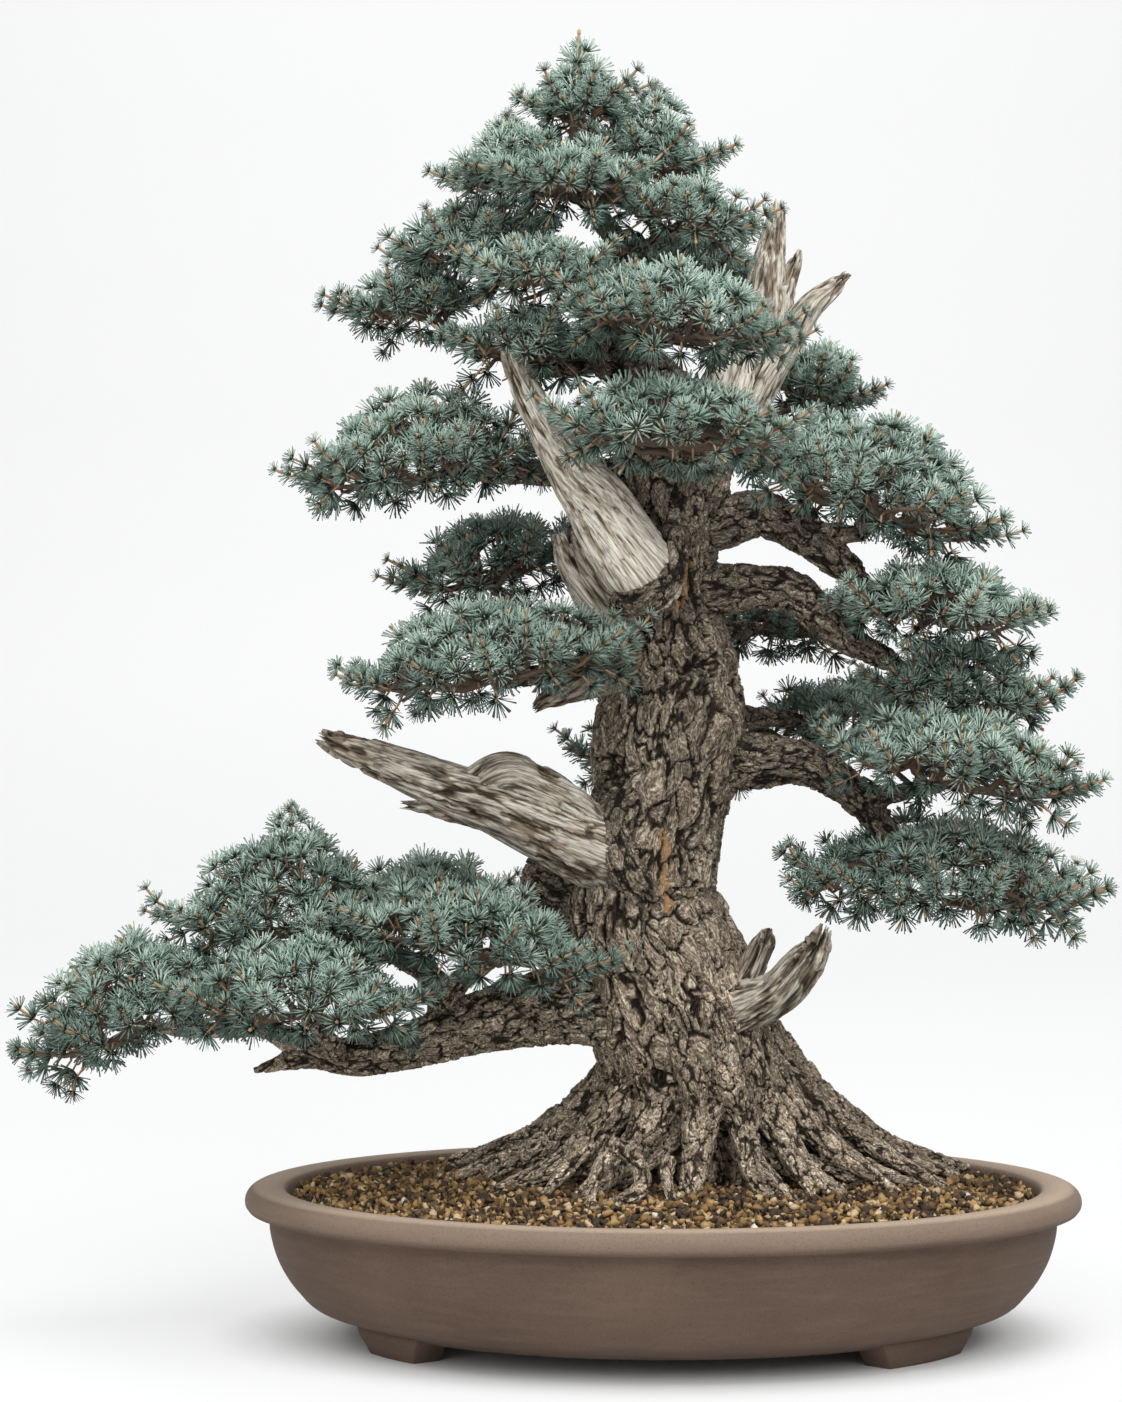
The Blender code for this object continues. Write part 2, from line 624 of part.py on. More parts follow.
class Space:
    """The flattened dome that one mass may fill."""

    def __init__(self, centre, half, tilt):
        self.centre = Vector(centre) * MM
        self.half = Vector(half) * MM
        self.turn = Matrix.Rotation(math.radians(-tilt), 3, "Y")

    def world(self, local):
        return self.centre + self.turn @ Vector(local)

    def places(self, count, inset, rng):
        """Places over the dome in three rings: its edge, half way up and the top."""
        half = [max(axis - inset, 0.2 * axis) for axis in self.half]
        edge = round(EDGE_SHARE * count)
        middle = round(MIDDLE_SHARE * count)
        top = count - edge - middle
        for ring, number in ((1.0, edge), (MIDDLE_RING, middle), (TOP_RING, top)):
            start = rng.uniform(0, math.tau)
            for i in range(number):
                angle = start + math.tau * (i + rng.uniform(-1, 1) * PLACE_JITTER) / number
                out = ring * (1 - rng.uniform(0, 1) * PLACE_JITTER)
                lift = DOME_TOP * math.sqrt(1.0 - out ** 2) - DOME_DROP
                flat = (half[0] * out * math.cos(angle), half[1] * out * math.sin(angle))
                yield self.world((*flat, half[2] * lift))

    def misses(self, point, radius, share):
        """Whether a sphere stays out of the core of this space."""
        local = self.turn.inverted() @ (point - self.centre)
        return sum((local[i] / (share * self.half[i] + radius)) ** 2 for i in range(3)) > 1.0

    def core(self, share):
        shape = bmesh.new()
        bmesh.ops.create_uvsphere(shape, u_segments=CORE_SEGMENTS, v_segments=CORE_RINGS, radius=1.0)
        lower = [vertex for vertex in shape.verts if vertex.co.z < 0]
        bmesh.ops.scale(shape, vec=(1.0, 1.0, CORE_BELOW), verts=lower)
        bmesh.ops.scale(shape, vec=self.half * share, verts=shape.verts)
        bmesh.ops.rotate(shape, matrix=self.turn, verts=shape.verts)
        bmesh.ops.translate(shape, vec=self.centre, verts=shape.verts)
        return shape


class Taken:
    """Where limbs and earlier masses already are, so that a new spray or twig keeps clear."""

    def __init__(self, limbs):
        self.limbs = np.concatenate([spheres for limb in limbs for spheres in limb.spheres])
        self.masses = np.zeros((0, 4))
        self.cores = []

    def clear_of_limbs(self, point, radius):
        return closest(np.array([[*point, radius]]), self.limbs) > LIMB_CLEARANCE

    def clear_of_masses(self, point, radius):
        if len(self.masses) and closest(np.array([[*point, radius]]), self.masses) < MASS_CLEARANCE:
            return False
        return all(space.misses(point, radius + MASS_CLEARANCE, share) for space, share in self.cores)

    def clear(self, point, radius):
        return self.clear_of_limbs(point, radius) and self.clear_of_masses(point, radius)


def along(first, second, radius, count=8):
    """Spheres on a straight twig, leaving out its start."""
    return [(first.lerp(second, (i + 1) / count), radius) for i in range(count)]


def grow_mass(row, taken, limbs, collection, cutters, material):
    """One mass: a stem from its bough, a core, and twigs that branch to sprays of needles."""
    name, carrier, start, centre, half, tilt, count = row
    rng = random.Random(f"{SEED} {name}")
    space = Space(centre, half, tilt)
    hub = space.world((0.0, 0.0, -HUB_DROP * space.half.z))
    start = Vector(start) * MM
    nodes = [(hub, 0.0)]
    sprays = []
    twigs = []
    radius = min(SPRAY_LARGEST, SPRAY_SHARE * min(space.half.x, space.half.y))
    for place in space.places(count, SPRAY_INSET * radius, rng):
        size = radius * (1 + rng.uniform(-1, 1) * SPRAY_SIZE_SPREAD)
        turn = Euler([rng.uniform(0, math.tau) for _ in range(3)]).to_matrix()
        if not taken.clear(place, size):
            continue
        parent, travelled = min(nodes, key=lambda node: (place - node[0]).length + PATH_WEIGHT * node[1])
        twig = along(parent, place, TWIG_RADIUS)
        outside = [ball for ball in twig if space.misses(*ball, CORE_SHARE)]
        if not all(taken.clear(*ball) for ball in outside):
            continue
        nodes.append((place, travelled + (place - parent).length))
        sprays.append((place, size, turn))
        if space.misses(place, 0.0, CORE_SHARE):
            twigs.append((parent, place))
    share = CORE_SHARE
    while share > CORE_SMALLEST and not core_fits(space, share, taken):
        share *= CORE_SHRINK
    obj = object_from_bmesh("foliage_" + name, space.core(share), collection)
    parts = []
    for place, size, turn in sprays:
        parts.append(object_from_bmesh("spray", spray_shape(size, place, turn), cutters))
    for first, second in twigs:
        parts.append(object_from_bmesh("twig", twig_shape(first, second), cutters))
    tip = next(limb for limb in limbs if limb.name == carrier)
    near = min(tip.spheres[0], key=lambda ball: (Vector(ball[:3]) - start).length)
    stem_radius = max(STEM_HUB_RADIUS, STEM_FOOT_SHARE * near[3])
    inside = start - 2.0 * GAP * (hub - start).normalized()
    stem = [(*(inside / MM), stem_radius / MM), (*(hub / MM), STEM_HUB_RADIUS / MM)]
    parts.append(tube("stem", stem, BOUGH_SIDES, cutters))
    boolean(obj, "UNION", parts, "MANIFOLD")
    stem_balls = [(*point, radius) for point, radius in along(start, hub, stem_radius)]
    balls = stem_balls + core_balls(space, share)
    tools = [cutter for limb in limbs for cutter in limb.cutters_near(np.array(balls), cutters)]
    boolean(obj, "DIFFERENCE", tools, "MANIFOLD")
    largest_piece(obj)
    finish(obj, material, smooth=False)
    taken.cores.append((space, share))
    added = [(*place, size) for place, size, _ in sprays]
    for first, second in twigs:
        added += [(*point, radius) for point, radius in along(first, second, TWIG_RADIUS)]
    taken.masses = np.concatenate([taken.masses, np.array(added + stem_balls)])


def core_balls(space, share):
    """Small spheres over a core's surface."""
    found = []
    for i in range(CORE_TESTS):
        up = 1 - 2 * (i + 0.5) / CORE_TESTS
        angle = i * GOLDEN_ANGLE
        flat = math.sqrt(1 - up ** 2)
        unit = (flat * math.cos(angle), flat * math.sin(angle), up)
        local = [share * axis * part for axis, part in zip(space.half, unit)]
        found.append((*space.world(local), CORE_TEST_RADIUS))
    return found


def core_fits(space, share, taken):
    return all(taken.clear_of_masses(Vector(ball[:3]), 0.0) for ball in core_balls(space, share))


def main():
    clear_scene()
    materials = {name: make_material(name) for name in COLOURS}
    bonsai = new_collection("cedar_bonsai")
    cutters = new_collection("cutters")
    finish(build_pot(bonsai, cutters), materials["clay"])
    finish(build_soil(bonsai), materials["soil"])
    limbs = build_limbs(bonsai, cutters, materials)
    taken = Taken(limbs)
    for row in MASSES:
        grow_mass(row, taken, limbs, bonsai, cutters, materials["needles"])


main()
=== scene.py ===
"""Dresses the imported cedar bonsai: bark, bare wood, twigs and needles, soil grains and the clay pot.

Metres, +Z up, in the frame of the solids. Tables of limbs and needle pads are in millimetres, after
those of the part's source, and each pad grows by the source's rule, carried on to finer twigs. The
roots are slimmer here, some pads are shifted or resized by a few millimetres, and the lips of bark,
one fork of a root and the small looped roots are here only.
"""

import itertools
import math
import random

import bmesh
import bpy
import numpy as np
from mathutils import Matrix, Vector


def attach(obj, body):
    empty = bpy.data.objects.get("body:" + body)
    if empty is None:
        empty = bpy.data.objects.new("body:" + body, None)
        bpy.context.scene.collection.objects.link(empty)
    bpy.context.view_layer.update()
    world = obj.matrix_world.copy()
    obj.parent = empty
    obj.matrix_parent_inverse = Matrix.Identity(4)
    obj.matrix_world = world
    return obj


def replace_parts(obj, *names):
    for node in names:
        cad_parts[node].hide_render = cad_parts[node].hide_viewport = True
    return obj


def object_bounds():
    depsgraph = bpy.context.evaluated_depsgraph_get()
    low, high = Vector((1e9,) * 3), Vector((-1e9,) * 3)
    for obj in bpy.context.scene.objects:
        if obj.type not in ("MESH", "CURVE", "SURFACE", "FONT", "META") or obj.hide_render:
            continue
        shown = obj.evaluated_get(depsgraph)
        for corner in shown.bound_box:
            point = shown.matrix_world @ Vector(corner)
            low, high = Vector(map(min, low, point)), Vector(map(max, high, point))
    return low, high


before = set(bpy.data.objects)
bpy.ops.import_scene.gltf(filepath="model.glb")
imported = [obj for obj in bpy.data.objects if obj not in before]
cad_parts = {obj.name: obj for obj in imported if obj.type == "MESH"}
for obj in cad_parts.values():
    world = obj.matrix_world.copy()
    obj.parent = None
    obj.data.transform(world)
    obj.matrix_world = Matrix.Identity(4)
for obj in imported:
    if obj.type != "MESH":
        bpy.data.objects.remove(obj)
CAD_BOX = [[float(value) for value in corner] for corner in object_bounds()]
MM = 0.001
WELD = 0.00001
SEED = 20

# Camera: a level view from in front of the pot, and the picture's size in pixels
PICTURE_HEIGHT = 1402
PIXEL = 0.00066
EYE = (0.0, -2.2, 0.418)
SENSOR = 36.0

# Pot: rim ellipse, floor, feet and drain holes
POT_X = 0.067
POT_HALF_WIDTH = 0.275
POT_HALF_DEPTH = 0.206
OVAL = POT_HALF_DEPTH / POT_HALF_WIDTH
POT_HEIGHT = 0.100
POT_STEPS = 192
FOOT_HEIGHT = 0.013
FLOOR_TOP = 0.022
FOOT_OUTER = 0.214
FOOT_INNER = 0.186
FOOT_TAPER = 0.006
FOOT_SLOPE = 0.012
FOOT_LAP = 0.004
FOOT_STEPS = 14
FOOT_ENDS = (-0.147, 0.125)
FOOT_SIDE = 0.055
FOOT_ROUND = 0.0009
RIM_UNDERSIDE = 0.084
DRAIN_RADIUS = 0.012
DRAIN_OFFSET = 0.075
DRAIN_CUT = 0.05
DRAIN_SIDES = 40

# Soil: its level, the ellipse that the grains fill, and the loose grains
SOIL_TOP = 0.096
SOIL_RADIUS = 0.2455
SOIL_MOUND = 0.004
SOIL_DIP = 0.0015
BED_RINGS = 36
BED_LAP = 0.0005
BED_SINK = 0.0035
BED_UNEVEN = 0.0008
BED_DEPTH = 0.020
GRAIN_KINDS = 10
GRAIN_SPACING = 0.0047
GRAIN_SHIFT = 0.38
GRAIN_SIZE = (0.0034, 0.0052)
GRAIN_LIFT = (-0.0026, 0.0016)
GRAIN_CLEAR = 0.048

# Trunk stations: x, y, z and radius in millimetres
TRUNK = [
    (96, 30, 80, 70), (91, 29, 118, 61), (89, 27, 154, 56), (83, 24, 187, 56), (66, 19, 232, 60),
    (47, 14, 282, 55), (55, 12, 318, 48), (66, 12, 352, 44), (71, 12, 392, 50), (74, 12, 424, 47),
    (74, 9, 455, 37), (70, 6, 490, 31), (72, 2, 538, 33), (72, 0, 573, 39), (68, -4, 604, 29),
    (54, -9, 630, 21.5), (34, -13, 649, 17), (29, -16, 672, 13), (41, -20, 696, 9.6),
    (34, -20, 721, 7.5), (13, -20, 751, 5.8), (9, -20, 785, 4), (11, -18, 826, 2.4),
    (12, -17, 860, 1.2),
]
BURL = (31, 17, [(52, 12, 284), (10, 0, 296), (-19, -6, 311)])

# Root flare: bearing in degrees, reach, girth and height on the trunk in millimetres
ROOT_HUB = (93, 30)
ROOT_START = 34
ROOT_TIP = 4.5
ROOT_FALL = 1.8
ROOT_TAPER = 1.1
ROOT_LIFT = 0.30
ROOT_WANDER = 5.0
ROOT_WAVES = 3.0
ROOT_SHARES = (0.0, 0.2, 0.4, 0.62, 1.0)
ROOT_SLIM = (0.84, 0.76, 0.74, 0.76, 1.0)
WEB_SHARE = (0.42, 0.46)
LONG_ROOT = 140
ROOT_STEPS = 5
FORKS = ((2, 0.52, 0.72), (3, 0.36, 0.70))
FORK_TURN = (18, 34)
FORK_LENGTH = (0.85, 1.15)
FLUTE_TOP = (205, 265)
FLUTE_MIDDLE = 175
FLUTE_FOOT = 168
FLUTE_INSET = 4.5
FLUTE_GIRTH = 9.5
FLARE_CORE = ((80, 24), (118, 28), (154, 42), (187, 54))
LEADER_FROM = 20
LEADER_STEP = 0.0080
LEADER_SKIN = 0.0025
ROOTS = [
    (4, 176, 21, 88), (-15, 148, 20, 80), (-36, 116, 20, 72), (-61, 96, 18, 68),
    (-92, 88, 22, 74), (-130, 116, 22, 74), (-157, 150, 22, 80),
    (-180, 168, 21, 88), (154, 192, 31, 78), (124, 122, 23, 82), (90, 114, 22, 78),
    (56, 130, 23, 84), (15, 192, 31, 82),
]

# Small roots that arch over the soil at the front: radius at the root and at the tip, stations
LOOPED_ROOTS = [
    (6.0, 4.2, [(35, -46, 134), (27, -62, 122), (21, -72, 110), (19, -78, 98), (21, -82, 92)]),
    (6.5, 4.6, [
        (41, -48, 130), (49, -64, 121), (52, -76, 112), (46, -84, 104), (34, -89, 99), (18, -93, 92),
    ]),
    (5.5, 3.4, [(70, -50, 124), (68, -62, 113), (70, -72, 102), (75, -78, 92)]),
    (5.0, 3.0, [(128, -40, 118), (140, -54, 108), (150, -66, 98), (158, -74, 92)]),
]

# Limbs: name, radius at the root and at the tip, stations x, y, z in millimetres
BOUGHS = [
    ("low_left", 30, 6.5, [
        (65, 8, 227), (26, 0, 219), (-4, -5, 217), (-31, -10, 213), (-69, -15, 202),
        (-109, -20, 190), (-142, -25, 186), (-168, -28, 193), (-192, -30, 205),
    ]),
    ("low_left_riser", 12, 5.5, [(-75, -15, 201), (-77, -15, 220), (-86, -14, 238), (-111, -10, 251)]),
    ("low_left_fork", 8.5, 5, [(-79, -15, 222), (-64, -21, 236), (-38, -36, 256)]),
    ("left_low", 13, 5, [(59, 0, 432), (26, -15, 440), (1, -32, 438), (-39, -45, 430)]),
    ("left_back", 9, 4.5, [(59, 15, 455), (22, 45, 461), (-14, 58, 473), (-45, 62, 493)]),
    ("left_mid", 12, 6, [(62, 0, 569), (26, -5, 567), (-12, -10, 568), (-71, -18, 568)]),
    ("left_upper", 8, 4.3, [(33, -12, 642), (-12, 0, 638), (-39, 8, 648), (-77, 18, 668)]),
    ("right_top", 18, 9, [
        (85, 0, 536), (106, -4, 535), (128, -8, 541), (150, -12, 533), (173, -16, 516), (194, -20, 500),
    ]),
    ("right_top_fork", 7, 5, [(148, -14, 534), (176, -18, 529), (199, -20, 527)]),
    ("right_mid", 18, 7.5, [
        (85, 0, 490), (108, -2, 491), (132, -4, 492), (155, -5, 488), (187, -5, 460), (219, 0, 444),
    ]),
    ("right_low", 20, 8, [
        (102, 5, 378), (130, 1, 378), (156, -2, 378), (178, -3, 369), (204, -5, 345), (219, -5, 327),
    ]),
    ("right_low_fork", 8, 5.5, [(192, -4, 356), (212, -14, 356), (231, -26, 361)]),
    ("front_centre", 12, 6, [(74, -5, 577), (76, -50, 573), (74, -84, 575)]),
    ("front_upper", 8, 4.8, [(33, -12, 647), (46, -46, 649), (60, -72, 648)]),
    ("right_back", 10, 4.5, [(80, 12, 588), (117, 48, 600), (158, 66, 620)]),
    ("back_right", 9, 5, [(84, 25, 457), (118, 70, 466), (136, 100, 468)]),
    ("back_right_low", 11, 5.6, [(86, 30, 409), (130, 75, 407), (162, 100, 406)]),
    ("back_low", 12, 6, [(72, 30, 368), (77, 62, 370), (76, 92, 374)]),
    ("back_mid", 11, 6, [(73, 20, 579), (77, 55, 588), (78, 84, 596)]),
    ("back_left_low", 14, 6, [(42, 25, 284), (0, 66, 280), (-46, 96, 272)]),
]

# Lips of bark round the feet of two dead limbs: stations with their radius
CALLUSES = [
    [(34, -44, 484, 8), (46, -50, 481, 10), (62, -50, 489, 11), (72, -45, 507, 10), (72, -36, 530, 8)],
    [(60, -18, 280, 14), (48, -34, 298, 12), (38, -42, 315, 11), (35, -38, 334, 10), (44, -22, 352, 11)],
]

# A short pointed stub under the low left bough
LOW_LEFT_STUB = (9, 2.5, [(-158, -27, 188), (-180, -29, 183), (-201, -30, 177)])

# Bare dead limbs: name and stations x, y, z and radius in millimetres
DEADWOOD = [
    ("high_left", [
        (58, -12, 496, 23), (46, -44, 510, 24), (23, -57, 546, 20), (6, -63, 567, 15.5),
        (-14, -65, 601, 10.5), (-27, -65, 628, 8.5), (-33, -64, 648, 6),
    ]),
    ("high_left_stub", [(38, -8, 466, 14), (21, -18, 487, 13), (9, -20, 510, 12), (3, -20, 531, 8)]),
    ("low_left", [
        (46, 0, 310, 24), (16, -30, 323, 24), (-10, -40, 336, 21), (-39, -46, 350, 19),
        (-67, -49, 360, 16.5), (-107, -52, 376, 13), (-142, -54, 390, 8.5), (-157, -54, 396, 4.5),
    ]),
    ("stub_left", [
        (52, -12, 440, 12), (14, -34, 429, 10), (-2, -42, 422, 7), (-11, -45, 418, 4.5), (-18, -46, 412, 2),
    ]),
    ("low_right", [
        (108, -4, 214, 20), (140, -22, 227, 14), (157, -30, 245, 12.5), (166, -33, 258, 8.5),
        (172, -34, 272, 3.5),
    ]),
    ("crown_left", [
        (84, 20, 579, 30), (108, 28, 612, 23), (121, 33, 645, 19), (131, 35, 667, 17), (135, 36, 685, 15),
        (138, 36, 704, 12.5), (142, 37, 726, 8.5), (145, 37, 748, 5), (146, 37, 756, 2.6),
    ]),
    ("crown_right", [
        (118, 26, 606, 14), (138, 20, 636, 11), (155, 16, 664, 9.5), (167, 15, 681, 8), (180, 15, 692, 5.5),
        (192, 15, 702, 2.5),
    ]),
]

# Lesser dead limbs, each one piece with the larger one of its name
SPURS = {
    "low_left": [
        [
            (20, -26, 330, 17), (4, -38, 348, 16), (-16, -45, 361, 15), (-36, -48, 370, 14),
            (-55, -50, 364, 12), (-72, -50, 359, 6),
        ],
        [(-34, -46, 340, 11), (-55, -46, 344, 8), (-80, -47, 348, 5), (-104, -48, 351, 1.8)],
    ],
    "low_right": [[(114, -8, 226, 10), (127, -8, 246, 8), (133, -8, 258, 7), (137, -7, 269, 2.6)]],
    "crown_left": [[
        (139, 35, 660, 10), (147, 35, 684, 8), (152, 36, 700, 6), (157, 36, 712, 4), (160, 36, 721, 2),
    ]],
}

# How pale each dead limb has bleached, and the turns that its grain makes along it
BLEACHED = {
    "high_left": (1.0, 0.22), "high_left_stub": (0.70, 0.16), "low_left": (0.34, 0.18),
    "stub_left": (0.03, 0.20), "low_right": (0.14, 0.10), "crown_left": (0.74, 0.10),
    "crown_right": (0.70, 0.10),
}

# Bare wood: its fineness, splintered ends, and how wide, long and deep the marks of its grain are
BARE_STEP = 0.0014
BARE_SIDES = 128
RAGGED_END = 0.011
HOLLOW_END = 0.006
GROOVES = (0.0052, 0.065)
FIBRES = (0.0026, 0.040)
CHECKS = (0.0085, 0.080)
BARE_OF_CHECKS = (0.011, 0.045)
CHIPS = (0.006, 0.016)
FADED_PATCHES = (0.012, 0.050)
SLIT_DEPTH = 0.0012
CHECK_DEPTH = 0.0026
CHIP_DEPTH = 0.0018
FIBRE_DEPTH = 0.0013
BARE_SKIN = 0.0009
DARKEST = 0.1

# Needle pads: name, where the stem leaves its limb, centre, half sizes, tilt in degrees
PADS = [
    ("apex", (11, -20, 782), (11, -18, 812), (32, 34, 36), 0),
    ("upper_left", (18, -20, 745), (-31, -26, 768), (41, 44, 27), 12),
    ("upper_right", (24, -20, 740), (58, 6, 784), (44, 48, 36), -10),
    ("upper_front", (26, -20, 733), (8, -74, 752), (46, 40, 21), 0),
    ("third_right", (40, -20, 710), (80, -46, 735), (46, 42, 20), -12),
    ("third_left", (42, -20, 702), (-59, 0, 722), (53, 56, 25), 10),
    ("third_front", (36, -19, 688), (-12, -84, 692), (46, 48, 21), 0),
    ("fourth_left", (-77, 18, 668), (-101, 20, 685), (44, 45, 21), 5),
    ("front_upper", (60, -72, 648), (72, -124, 657), (72, 58, 35), -8),
    ("fourth_low_left", (36, -13, 645), (-24, -52, 650), (46, 44, 18), 0),
    ("right_back", (158, 66, 620), (176, 78, 635), (33, 48, 31), -15),
    ("centre_front", (74, -84, 575), (70, -136, 588), (74, 58, 31), -5),
    ("left_mid", (-71, -18, 568), (-92, -20, 579), (82, 76, 43), 8),
    ("right_top", (199, -20, 527), (204, -26, 558), (86, 82, 46), -18),
    ("right_mid", (194, -20, 500), (246, -36, 480), (66, 62, 31), -5),
    ("right_lower_mid", (219, 0, 444), (266, 8, 426), (62, 60, 33), -8),
    ("right_low", (231, -26, 361), (257, -58, 378), (82, 66, 36), -10),
    ("right_lowest", (219, -5, 327), (254, -2, 303), (102, 86, 45), -5),
    ("back_right", (136, 100, 468), (154, 134, 474), (50, 58, 27), 0),
    ("back_right_low", (162, 100, 406), (204, 134, 404), (78, 66, 34), 0),
    ("left_back", (-45, 62, 493), (-48, 70, 514), (62, 54, 34), 15),
    ("left_low", (-39, -45, 430), (-45, -70, 446), (92, 72, 39), 8),
    ("low_left_peak", (-111, -10, 251), (-177, -14, 286), (82, 76, 57), 0),
    ("low_left_inner", (-38, -36, 256), (-54, -76, 269), (84, 64, 34), -12),
    ("low_left_tip", (-192, -30, 205), (-279, -30, 222), (74, 69, 48), 23),
    ("low_left_under", (-142, -25, 186), (-163, -98, 234), (80, 57, 38), 0),
    ("back_low", (76, 92, 374), (76, 138, 382), (66, 66, 29), 0),
    ("back_mid", (78, 84, 596), (80, 130, 606), (70, 70, 28), 0),
    ("back_high", (42, -18, 696), (84, 64, 712), (52, 66, 28), 0),
    ("back_left_low", (-46, 96, 272), (-92, 132, 280), (66, 68, 30), 0),
]

# Growth of a pad, with lengths in metres: stem and arms, rosettes, rim shoots, spires, twigs
GOLDEN_ANGLE = math.radians(137.5)
HUB_DROP = 0.36
PATH_WEIGHT = 0.35
STEM_STEP = 0.012
ARM_STEP = 0.013
ARM_LENGTH = (0.62, 0.84)
ARM_BEND = 0.35
ROSETTE_SPACING = 0.0163
PACKING = 0.87
ROSETTE_INSET = 0.0060
ROSETTE_SIZES = (0.86, 1.12)
ROSETTE_LEAN = 0.3
UNDERSIDE_SHARE = 0.20
HANGING = (0.002, 0.013)
RIM_DROP = 0.32
SMALLEST_DROP = 0.0105
PAD_ROUNDNESS = 0.66
LOBE_DEPTH = 0.36
LOBE_STEP = 0.010
LOBE_WIDTH = 0.95
FINGERS = (5, 8)
FINGER_SHIFT = 2.4
TIER_WAVE = 0.35
UNEVEN = 0.0035
TIER_HEIGHT = 0.021
TIER_DEPTH = 0.014
FINGER_DEPTH = 0.13
PEAKS = {"apex": 0.7, "upper_right": 0.6, "low_left_peak": 0.50, "upper_left": 0.3, "right_back": 0.3}
TIP_GAP = 0.013
TIP_LIFT = 0.004
TIP_STEPS = ((-0.012, 1.0), (-0.003, 0.88), (0.0055, 0.70))
OUTSIDE = 0.004
RIM_FROM = 0.86
SPIRES = ("upper_right", "low_left_peak", "upper_left")
SPIRE_STEP = 0.0022
SPIRE_COUNT = 9
SPIRE_SPREAD = 0.013
SPIRE_DEPTH = 0.011
SPIRE_STEM = 0.012
SPIRE_RADII = (0.0016, 0.0008)
SPUR_LENGTH = 0.008
LIMB_CLEARANCE = 0.006
TWIG_CLEARANCE = 0.001
CENTRE_STEP = 0.004
TWIG_RADIUS = 0.00075
PIPE_POWER = 2.5
HEAVY_RADIUS = 0.0032
TWIG_BEND = 0.0012
SIDE_SHOOTS = 0.20
SIDE_SHOOT_LENGTH = 0.0075
SIDE_SHOOT_RADII = (0.0009, 0.0007)
RIM_SHOOTS = 0.7
RIM_SHOOT_LENGTH = 0.0108
RIM_SHOOT_RADII = (0.0011, 0.0009)
RIM_BUDS = 0.55

# Needles: rings of a rosette as count, lowest and highest rise, then sizes of needles and buds
NEEDLE_RINGS = ((12, 0.70, 0.92), (19, 0.24, 0.52))
NEEDLES = sum(row[0] for row in NEEDLE_RINGS)
NEEDLE_LENGTH = 0.0122
NEEDLE_WIDTH = 0.0010
NEEDLE_TIP_WIDTH = 0.0011
NEEDLE_START = 0.0012
NEEDLE_KINDS = 8
TUFT = (0.0010, 0.0028)
TIP_BUD = (0.0014, 0.0052)
MOST_TRIANGLES = 190000

# Bark: the fineness of its skin, plate width as a share of the limb's radius, relief and pieces
BARK_VOXEL = 0.0026
PLATE_SHARE = 0.29
PLATE_SMALLEST = 0.0080
PLATE_LARGEST = 0.0140
PLATE_STRETCH = 2.2
RELIEF_SHARE = 0.085
RELIEF_LARGEST = 0.0032
RELIEF_SMALLEST = 0.0009
CRACK_WIDTH = 0.0011
LUMP_WIDTH = 0.034
LIMB_SALT = 17.0
CHUNK = 4000
BARK_ZONES = (0.126, 0.195, 0.290, 0.420, 0.560)
BARK_NAMES = ("bark_roots", "bark_flare", "bark_low", "bark_waist", "bark_shoulder", "bark_crown")

# Raw scars in the bark as centre and half sizes, and a healed knot at x and z on the trunk's front
SCARS = [
    ((0.068, -0.034, 0.312), (0.0042, 0.020, 0.026)), ((0.080, -0.030, 0.494), (0.0045, 0.018, 0.016)),
]
SCAR_MARKS = (0.003, 0.003, 0.009)
KNOT = (0.084, 0.442)
KNOT_RADIUS = 0.0080
KNOT_RING = 0.0052
KNOT_PIT = 0.0130

# Colours dealt out to rosettes and grains, and the share of each grain colour. The needle colours run from
# dark to light: painted shade for rosettes below a pad, painted light for those that face up, mixed with
# chance.
NEEDLE_COLOURS = [
    (0.068, 0.108, 0.085), (0.138, 0.203, 0.166), (0.228, 0.312, 0.262), (0.300, 0.395, 0.331),
    (0.392, 0.490, 0.412),
]
GRAIN_COLOURS = [
    (0.230, 0.135, 0.052), (0.350, 0.225, 0.100), (0.120, 0.074, 0.036), (0.050, 0.034, 0.022),
    (0.500, 0.370, 0.215), (0.620, 0.570, 0.490),
]
GRAIN_SHARES = [0.22, 0.17, 0.25, 0.28, 0.07, 0.01]
BLACK = (0.0, 0.0, 0.0)

# Stage: the floor's edges, its curve up into the wall, and where its glow grows
STAGE_WIDTH = 14.0
STAGE_FRONT = -6.0
STAGE_BEND = 3.0
STAGE_CURVE = 2.0
STAGE_HEIGHT = 9.0
STAGE_MIDDLE = (0.0, 2.5, 0.0)
GLOW_RING = (3.2, 8.0)

# Lights: name, place, aim, size and power, then the white room as it lights and as it shows
LIGHTS = [
    ("overhead", (0.4, -1.0, 3.0), (0.0, 0.0, 0.3), (2.0, 1.8), 76.0),
    ("front_right", (1.1, -3.2, 2.2), (0.0, 0.0, 0.4), (1.8, 1.8), 58.0),
    ("front_left", (-1.8, -3.0, 1.5), (0.0, 0.0, 0.4), (1.8, 1.8), 34.0),
    ("backdrop", (0.0, 1.4, 4.2), (0.0, 4.6, 1.2), (5.0, 1.6), 84.0),
]
ROOM_LIGHT = 0.57
ROOM_SHOWN = 0.945


# Small tools


def new_object(name, mesh):
    """An object in the scene with this data."""
    obj = bpy.data.objects.new(name, mesh)
    bpy.context.scene.collection.objects.link(obj)
    return obj


def from_bmesh(name, shape):
    """An object from a shape, which is used up."""
    mesh = bpy.data.meshes.new(name)
    shape.to_mesh(mesh)
    shape.free()
    return new_object(name, mesh)


def as_arrays(shape):
    """A small shape's points and faces."""
    shape.verts.index_update()
    points = np.array([tuple(vertex.co) for vertex in shape.verts])
    faces = np.array([[vertex.index for vertex in face.verts] for face in shape.faces])
    shape.free()
    return points, faces


def only(kind, items):
    """The vertices or the edges among the results of a mesh operation."""
    return [item for item in items if isinstance(item, kind)]


